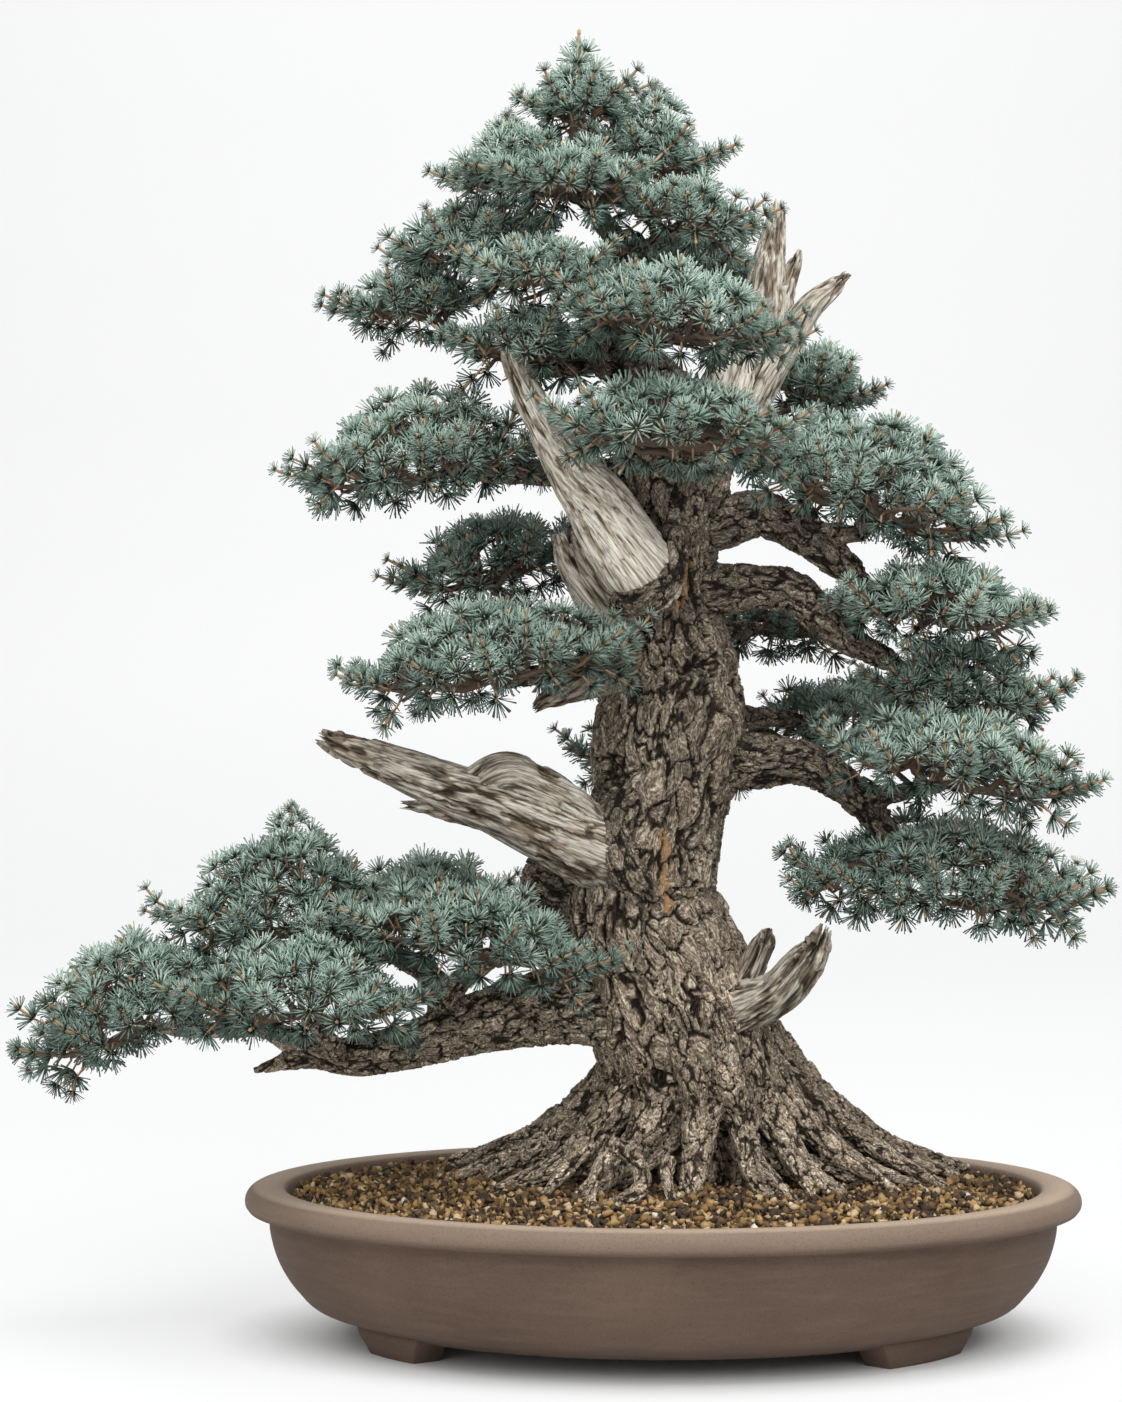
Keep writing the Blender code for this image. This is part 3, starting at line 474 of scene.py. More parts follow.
def made_oval(shape):
    """Squeezes a round shape to the pot's oval and moves it to the pot's place."""
    bmesh.ops.scale(shape, vec=(1.0, OVAL, 1.0), verts=shape.verts)
    bmesh.ops.translate(shape, vec=(POT_X, 0.0, 0.0), verts=shape.verts)


def linked(points):
    """A new shape of vertices joined by edges in a row: the shape, its vertices and its edges."""
    shape = bmesh.new()
    corners = [shape.verts.new(point) for point in points]
    return shape, corners, [shape.edges.new(pair) for pair in zip(corners, corners[1:])]


def from_arrays(name, points, faces, kinds=None):
    """A mesh object from arrays of points and of equal-sided faces, with a material slot for each."""
    mesh = bpy.data.meshes.new(name)
    corners = faces.shape[1]
    mesh.vertices.add(len(points))
    mesh.vertices.foreach_set("co", np.ascontiguousarray(points, np.float32).ravel())
    mesh.loops.add(faces.size)
    mesh.loops.foreach_set("vertex_index", np.ascontiguousarray(faces, np.int32).ravel())
    mesh.polygons.add(len(faces))
    mesh.polygons.foreach_set("loop_start", np.arange(0, faces.size, corners, dtype=np.int32))
    if kinds is not None:
        mesh.polygons.foreach_set("material_index", np.ascontiguousarray(kinds, np.int32))
    mesh.update(calc_edges=True)
    mesh.validate()
    return new_object(name, mesh)


def read_points(mesh, kind="co"):
    """The places of a mesh's vertices, or their normals."""
    points = np.zeros(len(mesh.vertices) * 3, np.float32)
    mesh.vertices.foreach_get(kind, points)
    return points.reshape(-1, 3).astype(np.float64)


def write_points(mesh, points):
    mesh.vertices.foreach_set("co", np.ascontiguousarray(points, np.float32).ravel())
    mesh.update()


def add_values(mesh, name, values):
    """Stores a number, or three, for each point under a name that materials read."""
    kind = "FLOAT" if values.ndim == 1 else "FLOAT_VECTOR"
    store = mesh.attributes.new(name, kind, "POINT")
    store.data.foreach_set("value" if values.ndim == 1 else "vector", values.astype(np.float32).ravel())


def evaluated(obj):
    bpy.context.view_layer.update()
    return bpy.data.meshes.new_from_object(obj.evaluated_get(bpy.context.evaluated_depsgraph_get()))


def baked(obj):
    """Applies the object's modifiers to its mesh."""
    mesh = evaluated(obj)
    obj.modifiers.clear()
    old = obj.data
    obj.data = mesh
    bpy.data.meshes.remove(old)
    return obj


def smoothstep(low, high, values):
    """0 below low, 1 above high, and soft between them."""
    share = np.clip((values - low) / (high - low), 0.0, 1.0)
    return share * share * (3.0 - 2.0 * share)


# Repeatable noise on arrays of points


def mixed(cells, salt):
    """A number from 0 to 1 for each whole-numbered cell."""
    cells = cells.astype(np.int64).astype(np.uint32)
    found = cells[..., 0] * np.uint32(0x8DA6B343)
    found ^= cells[..., 1] * np.uint32(0xD8163841)
    found ^= cells[..., 2] * np.uint32(0xCB1AB31F)
    found ^= np.uint32((salt * 0x9E3779B1) & 0xFFFFFFFF)
    found ^= found >> np.uint32(15)
    found *= np.uint32(0x2C1B3C6D)
    found ^= found >> np.uint32(12)
    found *= np.uint32(0x297A2D39)
    found ^= found >> np.uint32(15)
    return found.astype(np.float64) / 2.0 ** 32


def clouds(points, salt, octaves=1):
    """Soft lumps, 0 to 1, a unit apart, with finer ones added for each further octave."""
    total = np.zeros(len(points))
    weight = 0.0
    for octave in range(octaves):
        scaled = points * 2.0 ** octave
        low = np.floor(scaled)
        part = scaled - low
        part = part * part * (3.0 - 2.0 * part)
        for corner in itertools.product((0, 1), repeat=3):
            share = np.prod(np.where(corner, part, 1.0 - part), axis=1)
            total += 0.5 ** octave * share * mixed(low + corner, salt + octave)
        weight += 0.5 ** octave
    return total / weight


def plates(points, salt):
    """Plates a unit across: each point's distance from a crack, plate number and place along it."""
    low = np.floor(points)
    first = np.full(len(points), 9.0)
    second = np.full(len(points), 9.0)
    number = np.zeros(len(points))
    along = np.zeros(len(points))
    for step in itertools.product((-1, 0, 1), repeat=3):
        cell = low + step
        middle = cell + np.column_stack([mixed(cell, salt + axis) for axis in range(3)])
        away = points - middle
        apart = np.sqrt((away ** 2).sum(axis=1))
        nearer = apart < first
        second = np.where(nearer, first, np.minimum(second, apart))
        first = np.where(nearer, apart, first)
        number = np.where(nearer, mixed(cell, salt + 3), number)
        along = np.where(nearer, away[:, 2], along)
    return second - first, number, along


# Limbs as stations and tubes


def on_curve(stations, samples):
    """Rows of x, y, z, radius in metres on a Catmull-Rom curve through stations in millimetres."""
    points = [np.array(station, float) * MM for station in stations]
    padded = [2 * points[0] - points[1], *points, 2 * points[-1] - points[-2]]
    found = []
    for i in range(len(points) - 1):
        a, b, c, d = padded[i:i + 4]
        for t in np.arange(samples) / samples:
            found.append(0.5 * (
                2 * b + (c - a) * t + (2 * a - 5 * b + 4 * c - d) * t ** 2
                + (3 * b - a - 3 * c + d) * t ** 3
            ))
    found.append(points[-1])
    return np.array(found)


def tapered(root, tip, stations, samples=6):
    """A limb whose radius falls evenly from root to tip, on a smooth curve."""
    points = np.array(stations, float)
    steps = np.linalg.norm(np.diff(points, axis=0), axis=1)
    share = np.concatenate([[0.0], np.cumsum(steps) / steps.sum()])
    return on_curve(np.column_stack([points, root + (tip - root) * share]), samples)


def frames_along(stations):
    """Tangent, normal and binormal at each station, turning as little as they can, and the length so far."""
    points = stations[:, :3]
    tangents = np.gradient(points, axis=0)
    tangents /= np.linalg.norm(tangents, axis=1)[:, None]
    start = np.cross(tangents[0], (0.0, 1.0, 0.0) if abs(tangents[0][1]) < 0.9 else (1.0, 0.0, 0.0))
    normals = [start / np.linalg.norm(start)]
    for tangent in tangents[1:]:
        turned = normals[-1] - tangent * np.dot(normals[-1], tangent)
        normals.append(turned / np.linalg.norm(turned))
    normals = np.array(normals)
    steps = np.linalg.norm(np.diff(points, axis=0), axis=1)
    return tangents, normals, np.cross(tangents, normals), np.concatenate([[0.0], np.cumsum(steps)])


def evenly(stations, step):
    """The same limb with stations a step apart."""
    steps = np.linalg.norm(np.diff(stations[:, :3], axis=0), axis=1)
    length = np.append(0.0, np.cumsum(steps))
    places = np.linspace(0.0, length[-1], max(2, int(length[-1] / step) + 1))
    return np.column_stack([np.interp(places, length, stations[:, k]) for k in range(4)])


def tube_mesh(stations, sides):
    """A closed tube as a mesh, from a bevelled curve with filled caps."""
    curve = bpy.data.curves.new("guide", "CURVE")
    curve.dimensions = "3D"
    curve.bevel_depth = 1.0
    curve.bevel_resolution = (sides - 4) // 2
    curve.use_fill_caps = True
    spline = curve.splines.new("POLY")
    spline.points.add(len(stations) - 1)
    for target, station in zip(spline.points, stations):
        target.co = (*station[:3], 1.0)
        target.radius = station[3]
    guide = new_object("guide", curve)
    mesh = evaluated(guide)
    bpy.data.objects.remove(guide)
    bpy.data.curves.remove(curve)
    return mesh


def root_stations(bearing, reach, girth, rise):
    """A surface root in millimetres, by the rule of the solids."""
    angle = math.radians(bearing)
    stations = []
    for share in ROOT_SHARES:
        out = ROOT_START + (reach - ROOT_START) * share
        radius = ROOT_TIP + (girth - ROOT_TIP) * (1.0 - share) ** ROOT_TAPER
        wander = ROOT_WANDER * math.sin(ROOT_WAVES * share + bearing)
        stations.append((
            ROOT_HUB[0] + out * math.cos(angle) - wander * math.sin(angle),
            ROOT_HUB[1] + out * math.sin(angle) + wander * math.cos(angle),
            SOIL_TOP / MM + ROOT_LIFT * radius + rise * (1.0 - share) ** ROOT_FALL,
            radius,
        ))
    return stations


def trunk_point(height):
    """The trunk's middle and radius in millimetres at a height."""
    stations = on_curve(TRUNK, 4) / MM
    return [float(np.interp(height, stations[:, 2], stations[:, k])) for k in (0, 1, 3)]


def root_limbs():
    """The roots, the forks at their ends, and the flutes by which they run up the trunk."""
    rng = random.Random(f"{SEED} roots")
    soil = SOIL_TOP / MM
    found = []
    for bearing, reach, girth, rise in ROOTS:
        main = root_stations(bearing, reach, girth, rise)
        main = [(*row[:3], row[3] * slim) for row, slim in zip(main, ROOT_SLIM)]
        found.append(on_curve(main, ROOT_STEPS))
        web = [(x, y, soil + WEB_SHARE[0] * (z - soil), WEB_SHARE[1] * radius) for x, y, z, radius in main]
        found.append(on_curve(web, ROOT_STEPS))
        forks = FORKS if reach > LONG_ROOT else FORKS[:1]
        for number, (station, share, girth_share) in enumerate(forks):
            side = 1 if (number + int(bearing)) % 2 else -1
            turn = math.radians(bearing + side * rng.uniform(*FORK_TURN))
            x, y, z, radius = main[station]
            length = (reach - ROOT_START) * share * rng.uniform(*FORK_LENGTH)
            flat = np.array([math.cos(turn), math.sin(turn)]) * length
            found.append(on_curve([
                (x, y, z, girth_share * radius),
                (x + 0.5 * flat[0], y + 0.5 * flat[1], 0.45 * z + 0.55 * soil, 0.72 * girth_share * radius),
                (x + flat[0], y + flat[1], soil - 1.0, 0.40 * girth_share * radius),
            ], ROOT_STEPS))
        top = rng.uniform(*FLUTE_TOP)
        flute = []
        for height, share in ((top, 0.45), (0.5 * (top + FLUTE_MIDDLE), 0.8), (FLUTE_FOOT, 1.0)):
            x, y, around = trunk_point(height)
            angle = math.radians(bearing + rng.uniform(-4, 4))
            out = around - FLUTE_INSET
            flute.append((x + out * math.cos(angle), y + out * math.sin(angle), height, FLUTE_GIRTH * share))
        flute.append((*main[1][:3], 0.75 * main[1][3]))
        found.append(on_curve(flute, ROOT_STEPS))
    return found


def limb_list():
    """All limbs under bark, and the bare ones, as smooth stations in metres."""
    core = dict(FLARE_CORE)
    trunk = [(*row[:3], core.get(row[2], row[3])) for row in TRUNK[:LEADER_FROM + 1]]
    live = [on_curve(trunk, 6), tapered(*BURL), tapered(*LOW_LEFT_STUB)]
    live += [on_curve(stations, 6) for stations in CALLUSES]
    live += [tapered(root, tip, stations) for _, root, tip, stations in BOUGHS]
    roots = root_limbs() + [tapered(*row) for row in LOOPED_ROOTS]
    bare = [(name, on_curve(stations, 6)) for name, stations in DEADWOOD]
    for name, spurs in SPURS.items():
        bare += [(name, on_curve(stations, 6)) for stations in spurs]
    return live, roots, bare


# Finishes


class Finish:
    """A Principled material and short calls that add the nodes of its pattern."""

    def __init__(self, name, colour, roughness, specular=0.5):
        self.material = bpy.data.materials.new(name)
        self.material.use_nodes = True
        self.tree = self.material.node_tree
        self.shader = self.tree.nodes["Principled BSDF"]
        self.shader.inputs["Base Color"].default_value = (*colour, 1.0)
        self.shader.inputs["Roughness"].default_value = roughness
        self.shader.inputs["Specular IOR Level"].default_value = specular

    def node(self, kind, **sockets):
        made = self.tree.nodes.new(kind)
        for name, value in sockets.items():
            socket = made.inputs[name.replace("_", " ")]
            if isinstance(value, bpy.types.NodeSocket):
                self.tree.links.new(value, socket)
            else:
                socket.default_value = value
        return made

    def places(self, stretch=(1.0, 1.0, 1.0)):
        return self.stretched(self.node("ShaderNodeTexCoord").outputs["Object"], stretch)

    def stretched(self, vector, stretch):
        return self.node("ShaderNodeMapping", Vector=vector, Scale=stretch).outputs["Vector"]

    def height(self):
        return self.node("ShaderNodeSeparateXYZ", Vector=self.places()).outputs["Z"]

    def apart(self, vector, centre):
        """How far a place is from a centre."""
        made = self.node("ShaderNodeVectorMath", Vector=vector)
        made.operation = "DISTANCE"
        made.inputs[1].default_value = centre
        return made.outputs["Value"]

    def share(self, value, low, high):
        """0 to 1 as a value goes from low to high."""
        return self.node("ShaderNodeMapRange", Value=value, From_Min=low, From_Max=high).outputs["Result"]

    def edges(self, vector, scale):
        """How far a place is from the seams of a net of cells."""
        made = self.node("ShaderNodeTexVoronoi", Vector=vector, Scale=scale)
        made.feature = "DISTANCE_TO_EDGE"
        return made.outputs["Distance"]

    def stored(self, name, output="Fac"):
        read = self.node("ShaderNodeAttribute")
        read.attribute_name = name
        return read.outputs[output]

    def noise(self, vector, scale, detail=3.0, bend=0.0):
        made = self.node("ShaderNodeTexNoise", Vector=vector, Scale=scale, Detail=detail, Distortion=bend)
        return made.outputs["Fac"]

    def ramp(self, factor, stops):
        """A colour ramp with a stop for each place and its colour, or its grey."""
        made = self.node("ShaderNodeValToRGB", Fac=factor)
        bands = made.color_ramp.elements
        while len(bands) < len(stops):
            bands.new(0.5)
        for band, (place, colour) in zip(bands, stops):
            band.position = place
            band.color = (*colour, 1.0) if isinstance(colour, tuple) else (colour, colour, colour, 1.0)
        return made.outputs["Color"]

    def mix(self, factor, first, second, blend="MIX"):
        made = self.tree.nodes.new("ShaderNodeMix")
        made.data_type = "RGBA"
        made.blend_type = blend
        for socket, value in zip((made.inputs[0], made.inputs[6], made.inputs[7]), (factor, first, second)):
            if isinstance(value, bpy.types.NodeSocket):
                self.tree.links.new(value, socket)
            else:
                socket.default_value = value if isinstance(value, float) else (*value, 1.0)
        return made.outputs[2]

    def times(self, first, second, factor=1.0):
        return self.mix(factor, first, second, "MULTIPLY")

    def paint(self, colour):
        self.tree.links.new(colour, self.shader.inputs["Base Color"])

    def bump(self, height, distance, strength=1.0):
        made = self.node("ShaderNodeBump", Height=height, Distance=distance, Strength=strength)
        self.tree.links.new(made.outputs["Normal"], self.shader.inputs["Normal"])


def bark_finish():
    """Grey-brown flaky plates parted by cracks darkened near-black with painted shade, with a few raw scars.
    """
    finish = Finish("cedar_bark", (0.160, 0.128, 0.104), 0.9, 0.25)
    flow = finish.stored("flow", "Vector")
    broad = finish.noise(finish.places(), 30.0, 4.0)
    curls = finish.noise(flow, 4.2, 6.0, 1.6)
    fine = finish.noise(finish.places(), 520.0, 5.0)
    seams = finish.ramp(finish.edges(flow, 3.4), [(0.0, (0.30, 0.28, 0.26)), (0.06, 1.0)])
    base = finish.ramp(curls, [
        (0.32, (0.044, 0.035, 0.028)), (0.42, (0.135, 0.115, 0.090)), (0.52, (0.285, 0.252, 0.208)),
        (0.66, (0.540, 0.500, 0.432)),
    ])
    tone = finish.ramp(finish.stored("tone"), [(0.0, (0.42, 0.40, 0.38)), (1.0, (2.20, 2.08, 1.92))])
    patches = finish.ramp(broad, [(0.30, (0.74, 0.71, 0.68)), (0.70, (1.24, 1.22, 1.20))])
    grains = finish.ramp(fine, [(0.36, (0.62, 0.61, 0.60)), (0.62, 1.32)])
    grained = finish.times(finish.times(finish.times(base, tone), patches), grains)
    flaked = finish.times(grained, seams, 0.75)
    # Painted shade: the stored shade darkens the cracks and the knot's pit.
    cracks = finish.ramp(finish.stored("relief"), [
        (0.0, (0.06, 0.05, 0.045)), (0.26, (0.28, 0.26, 0.24)), (0.48, 1.0),
    ])
    cracked = finish.times(flaked, cracks)
    finish.paint(finish.mix(finish.stored("scar"), cracked, (0.360, 0.200, 0.070)))
    height = finish.node("ShaderNodeMath", Value=curls)
    height.operation = "ADD"
    finish.tree.links.new(fine, height.inputs[1])
    finish.bump(height.outputs[0], 0.0022)
    return finish.material


def bare_wood_finish():
    """Bleached grey wood with brown streaks along the grain and thin dark splits."""
    finish = Finish("bleached_wood", (0.430, 0.375, 0.310), 0.82, 0.3)
    flow = finish.stored("flow", "Vector")
    along = finish.stretched(flow, (1.0, 1.0, 0.11))
    wide = finish.stretched(flow, (1.0, 1.0, 0.30))
    streaks = finish.noise(along, 430.0, 6.0)
    fibres = finish.noise(along, 900.0, 3.0)
    grey = finish.ramp(streaks, [
        (0.39, (0.048, 0.038, 0.028)), (0.44, (0.150, 0.129, 0.101)), (0.49, (0.285, 0.254, 0.206)),
        (0.66, (0.465, 0.430, 0.363)),
    ])
    cream = finish.ramp(streaks, [
        (0.33, (0.105, 0.078, 0.055)), (0.375, (0.420, 0.362, 0.288)), (0.44, (0.620, 0.563, 0.475)),
        (0.60, (0.800, 0.762, 0.675)),
    ])
    base = finish.mix(finish.stored("pale"), grey, cream)
    stains = finish.ramp(finish.noise(wide, 46.0, 4.0), [(0.56, 0.0), (0.70, 0.55)])
    stained = finish.mix(stains, base, (0.200, 0.148, 0.098))
    threads = finish.ramp(fibres, [(0.36, (0.52, 0.49, 0.46)), (0.50, 0.98), (0.66, 1.15)])
    threaded = finish.times(stained, threads)
    splits = finish.ramp(finish.edges(along, 260.0), [(0.0, (0.22, 0.18, 0.15)), (0.055, 1.0)])
    split = finish.ramp(finish.noise(wide, 75.0, 2.0), [(0.50, 0.0), (0.60, 0.85)])
    lined = finish.times(threaded, splits, split)
    # Painted shade: the stored values darken the slits, checks, chips and hollow end.
    depth = finish.ramp(finish.stored("relief"), [
        (0.05, (0.14, 0.11, 0.085)), (0.40, (0.66, 0.60, 0.54)), (0.66, 1.0),
    ])
    finish.paint(finish.times(lined, depth))
    finish.bump(fibres, 0.0006)
    return finish.material


def clay_finish():
    """Brown unglazed clay, paler on the rim from a dusting there mixed with a painted highlight on its top,
    with dark specks and faint wiping marks.
    """
    finish = Finish("unglazed_clay", (0.165, 0.105, 0.082), 0.78, 0.35)
    cloudy = finish.noise(finish.places(), 14.0, 4.0)
    speckle = finish.noise(finish.places(), 900.0, 2.0)
    wiped = finish.noise(finish.places((1.0, 1.0, 9.0)), 26.0, 4.0)
    base = finish.ramp(cloudy, [(0.30, (0.084, 0.052, 0.036)), (0.70, (0.112, 0.072, 0.050))])
    rubbed = finish.mix(finish.ramp(wiped, [(0.45, 0.0), (0.75, 0.40)]), base, (0.142, 0.100, 0.072))
    # Painted highlight: towards its top the rim is made paler, mixed with a dusting on the rim.
    band = finish.share(finish.height(), RIM_UNDERSIDE, POT_HEIGHT)
    dust_and_highlight = finish.ramp(band, [(0.1, 0.0), (0.3, 0.25), (0.9, 0.32), (1.0, 1.0)])
    dusty_and_highlit = finish.mix(dust_and_highlight, rubbed, (0.370, 0.282, 0.210))
    specks = finish.ramp(speckle, [(0.36, (0.80, 0.79, 0.78)), (0.46, 1.0)])
    finish.paint(finish.times(dusty_and_highlit, specks))
    finish.bump(speckle, 0.0004, 0.7)
    return finish.material


def soil_bed_finish():
    """Dark fine soil between the grains, kept dark as painted shade in the gaps."""
    finish = Finish("soil_dust_and_shade", (0.060, 0.040, 0.024), 0.98)
    crumbs = finish.noise(finish.places(), 420.0, 4.0)
    finish.paint(finish.ramp(crumbs, [(0.35, (0.022, 0.015, 0.010)), (0.65, (0.110, 0.072, 0.038))]))
    finish.bump(crumbs, 0.0015)
    return finish.material


def plain_finish(name, colour, roughness):
    """One colour with a faint shine, for the many small things."""
    return Finish(name, colour, roughness, 0.3).material


# Needle pads


class Space:
    """The flattened dome that one pad may fill."""

    def __init__(self, centre, half, tilt):
        self.centre = Vector(centre) * MM
        self.half = Vector(half) * MM
        self.turn = Matrix.Rotation(math.radians(-tilt), 3, "Y")
        self.wide = (self.half.x + self.half.y) / 2
        self.drop = max(RIM_DROP * self.half.z, SMALLEST_DROP)

    def world(self, local):
        return self.centre + self.turn @ Vector(local)

    def profile(self, peak):
        """Level shares from the middle to the rim, with the height there and the skin's area so far."""
        level = np.sin(np.radians(np.arange(0.0, 90.5, 1.0)))
        height = (self.half.z + self.drop) * (1.0 - level ** 2) ** (PAD_ROUNDNESS + peak)
        steps = np.hypot(self.wide * np.diff(level), np.diff(height))
        area = np.concatenate([[0.0], np.cumsum(math.tau * self.wide * level[1:] * steps)])
        return level, height, area

    def lobes(self, level, area, rng):
        """Centres and heights of the lumps that break up the pad's top."""
        count = int(6 + self.wide / LOBE_STEP)
        found = []
        for i in range(count):
            flat = float(np.interp((i + 0.5) / count, area / area[-1], level))
            angle = i * GOLDEN_ANGLE + rng.uniform(-0.3, 0.3)
            found.append((flat * math.cos(angle), flat * math.sin(angle), rng.uniform(0.45, 1.0)))
        return np.array(found), LOBE_WIDTH / math.sqrt(count)

    def places(self, peak, rng):
        """Rosette places: evenly over the pad's top, in tiers and fingers, and a few hanging below."""
        level, height, area = self.profile(peak)
        count = int(area[-1] / (PACKING * ROSETTE_SPACING ** 2))
        under = int(UNDERSIDE_SHARE * count)
        half = [axis - min(ROSETTE_INSET, 0.35 * axis) for axis in self.half]
        lobes, width = self.lobes(level, area, rng)
        fingers = rng.randint(*FINGERS)
        phase = rng.uniform(0, math.tau)
        power = PAD_ROUNDNESS + peak
        for i in range(count + under):
            top = i < count
            angle = i * GOLDEN_ANGLE + rng.uniform(-0.12, 0.12)
            if top:
                share = min(1.0, max(0.0, (i + 0.5) / count + rng.uniform(-0.02, 0.02)))
                flat = float(np.interp(share, area / area[-1], level))
                lift = float(np.interp(flat, level, height))
            else:
                flat = math.sqrt(0.12 + 0.80 * (i - count + 0.5) / under)
                lift = -rng.uniform(*HANGING)
            slope = min(4.0, 2.0 * power * flat * max(0.02, 1.0 - flat ** 2) ** (power - 1.0))
            if top:
                way = np.array([flat * math.cos(angle), flat * math.sin(angle)])
                apart = np.linalg.norm(lobes[:, :2] - way, axis=1) / width
                swell = 1.0 - LOBE_DEPTH + LOBE_DEPTH * float((lobes[:, 2] * np.exp(-apart ** 2)).max())
                flat *= 0.35 * swell + 0.65 if flat < 0.6 else swell
                lift *= swell
                tier = lift / TIER_HEIGHT + TIER_WAVE * math.sin(2.0 * angle + phase)
                flat += (0.5 - tier % 1.0) * TIER_DEPTH / self.wide
                wave = fingers * angle + FINGER_SHIFT * math.floor(tier) + phase
                flat *= 1.0 + FINGER_DEPTH * math.sin(wave)
            local = Vector((
                half[0] * flat * math.cos(angle), half[1] * flat * math.sin(angle),
                lift - self.drop + rng.uniform(-UNEVEN, UNEVEN),
            ))
            outward = Vector((
                slope * math.cos(angle) / half[0], slope * math.sin(angle) / half[1],
                (1.0 if top else -0.7) / half[2],
            ))
            yield self.world(local), (self.turn @ outward).normalized(), flat, top, 1.0

    def tips(self, rng):
        """Rosette places along the shoots that reach out and up from the pad's rim."""
        count = int(6 + self.wide / TIP_GAP)
        start = rng.uniform(0, math.tau)
        for i in range(count):
            angle = start + math.tau * (i + rng.uniform(-0.3, 0.3)) / count
            rise = rng.uniform(0.2, 0.9)
            for out, size in TIP_STEPS:
                local = (
                    (self.half.x + out) * math.cos(angle), (self.half.y + out) * math.sin(angle),
                    TIP_LIFT - self.drop + rise * (out + TIP_GAP),
                )
                outward = Vector((math.cos(angle), math.sin(angle), 0.5))
                yield self.world(local), (self.turn @ outward).normalized(), 1.0, True, size


class Reach:
    """Where the limbs are, so that a twig or rosette keeps clear of them."""

    def __init__(self, limbs):
        self.balls = np.concatenate([evenly(limb, CENTRE_STEP) for limb in limbs])

    def clear(self, point, margin):
        apart = np.linalg.norm(self.balls[:, :3] - np.array(point), axis=1) - self.balls[:, 3]
        return apart.min() > margin


def in_box(place):
    """Whether a rosette there keeps its needles near the box of the solids."""
    low, high = CAD_BOX
    return all(a - OUTSIDE < value < b + OUTSIDE for a, value, b in zip(low, place, high))


def skeleton(space, start, hub, rng):
    """The stem to the hub and a few main twigs from it: points and the parent of each."""
    points = [start]
    parents = [-1]
    steps = max(2, int((hub - start).length / STEM_STEP))
    sag = Vector((rng.uniform(-1, 1), rng.uniform(-1, 1), -0.6)) * 0.05 * (hub - start).length
    for i in range(1, steps + 1):
        share = i / steps
        points.append(start.lerp(hub, share) + sag * math.sin(math.pi * share))
        parents.append(len(points) - 2)
    centre = len(points) - 1
    arms = 5 + int(3 * space.half.x / 0.08)
    turn = rng.uniform(0, math.tau)
    for i in range(arms):
        angle = turn + math.tau * (i + rng.uniform(-0.25, 0.25)) / arms
        length = rng.uniform(*ARM_LENGTH)
        bend = rng.uniform(-ARM_BEND, ARM_BEND)
        before = centre
        count = max(3, int(length * max(space.half.x, space.half.y) / ARM_STEP))
        for j in range(1, count + 1):
            out = length * j / count
            way = angle + bend * out
            lift = -HUB_DROP - 0.10 * math.sin(math.pi * out) + 0.14 * out + rng.uniform(-0.06, 0.06)
            local = (
                space.half.x * out * math.cos(way), space.half.y * out * math.sin(way),
                space.half.z * lift,
            )
            points.append(space.world(local))
            parents.append(before)
            before = len(points) - 1
    return points, parents


def grow_pad(row, reach):
    """One pad: its twigs as points with parents, radii and loads, and its rosettes."""
    name, start, centre, half, tilt = row
    rng = random.Random(f"{SEED} {name}")
    space = Space(centre, half, tilt)
    hub = space.world((0.0, 0.0, -HUB_DROP * space.half.z))
    points, parents = skeleton(space, Vector(start) * MM, hub, rng)
    array = np.array([tuple(point) for point in points])
    travelled = np.zeros(len(points))
    for i, parent in enumerate(parents):
        if parent >= 0:
            travelled[i] = travelled[parent] + np.linalg.norm(array[i] - array[parent])
    rosettes = []
    peak = PEAKS.get(name, 0.0)
    places = [*space.places(peak, rng), *space.tips(rng)]
    places.sort(key=lambda item: (item[0] - hub).length)
    for place, outward, out, top, share in places:
        if not reach.clear(place, LIMB_CLEARANCE) or not in_box(place):
            continue
        foot = place - outward * SPUR_LENGTH
        if not reach.clear(foot, TWIG_CLEARANCE):
            continue
        cost = np.linalg.norm(array - np.array(foot), axis=1) + PATH_WEIGHT * travelled
        parent = int(cost.argmin())
        middle = (Vector(array[parent]) + foot) / 2
        if parent > 0 and not reach.clear(middle, TWIG_CLEARANCE):
            continue
        array = np.vstack([array, tuple(foot)])
        travelled = np.append(travelled, travelled[parent] + np.linalg.norm(array[-1] - array[parent]))
        parents.append(parent)
        twig = (foot - Vector(array[parent])).normalized()
        lean = Vector([rng.uniform(-ROSETTE_LEAN, ROSETTE_LEAN) for _ in range(3)])
        axis = (outward + 0.35 * twig + Vector((0, 0, 0.25 if top else -0.05)) + lean).normalized()
        # Painted light and shade: rosettes that face up take lighter needles, those hanging below darker
        # ones.
        shade = 0.45 + 0.55 * max(0.0, outward.z) if top else 0.15
        size = share * rng.uniform(*ROSETTE_SIZES)
        rosettes.append((len(parents) - 1, place, axis, size, shade, out > RIM_FROM))
    loads = np.zeros(len(parents))
    for node, *_ in rosettes:
        loads[node] += 1.0
    for i in range(len(parents) - 1, 0, -1):
        loads[parents[i]] += loads[i]
    radii = TWIG_RADIUS * np.maximum(loads, 0.6) ** (1.0 / PIPE_POWER)
    return array, parents, radii, loads, rosettes


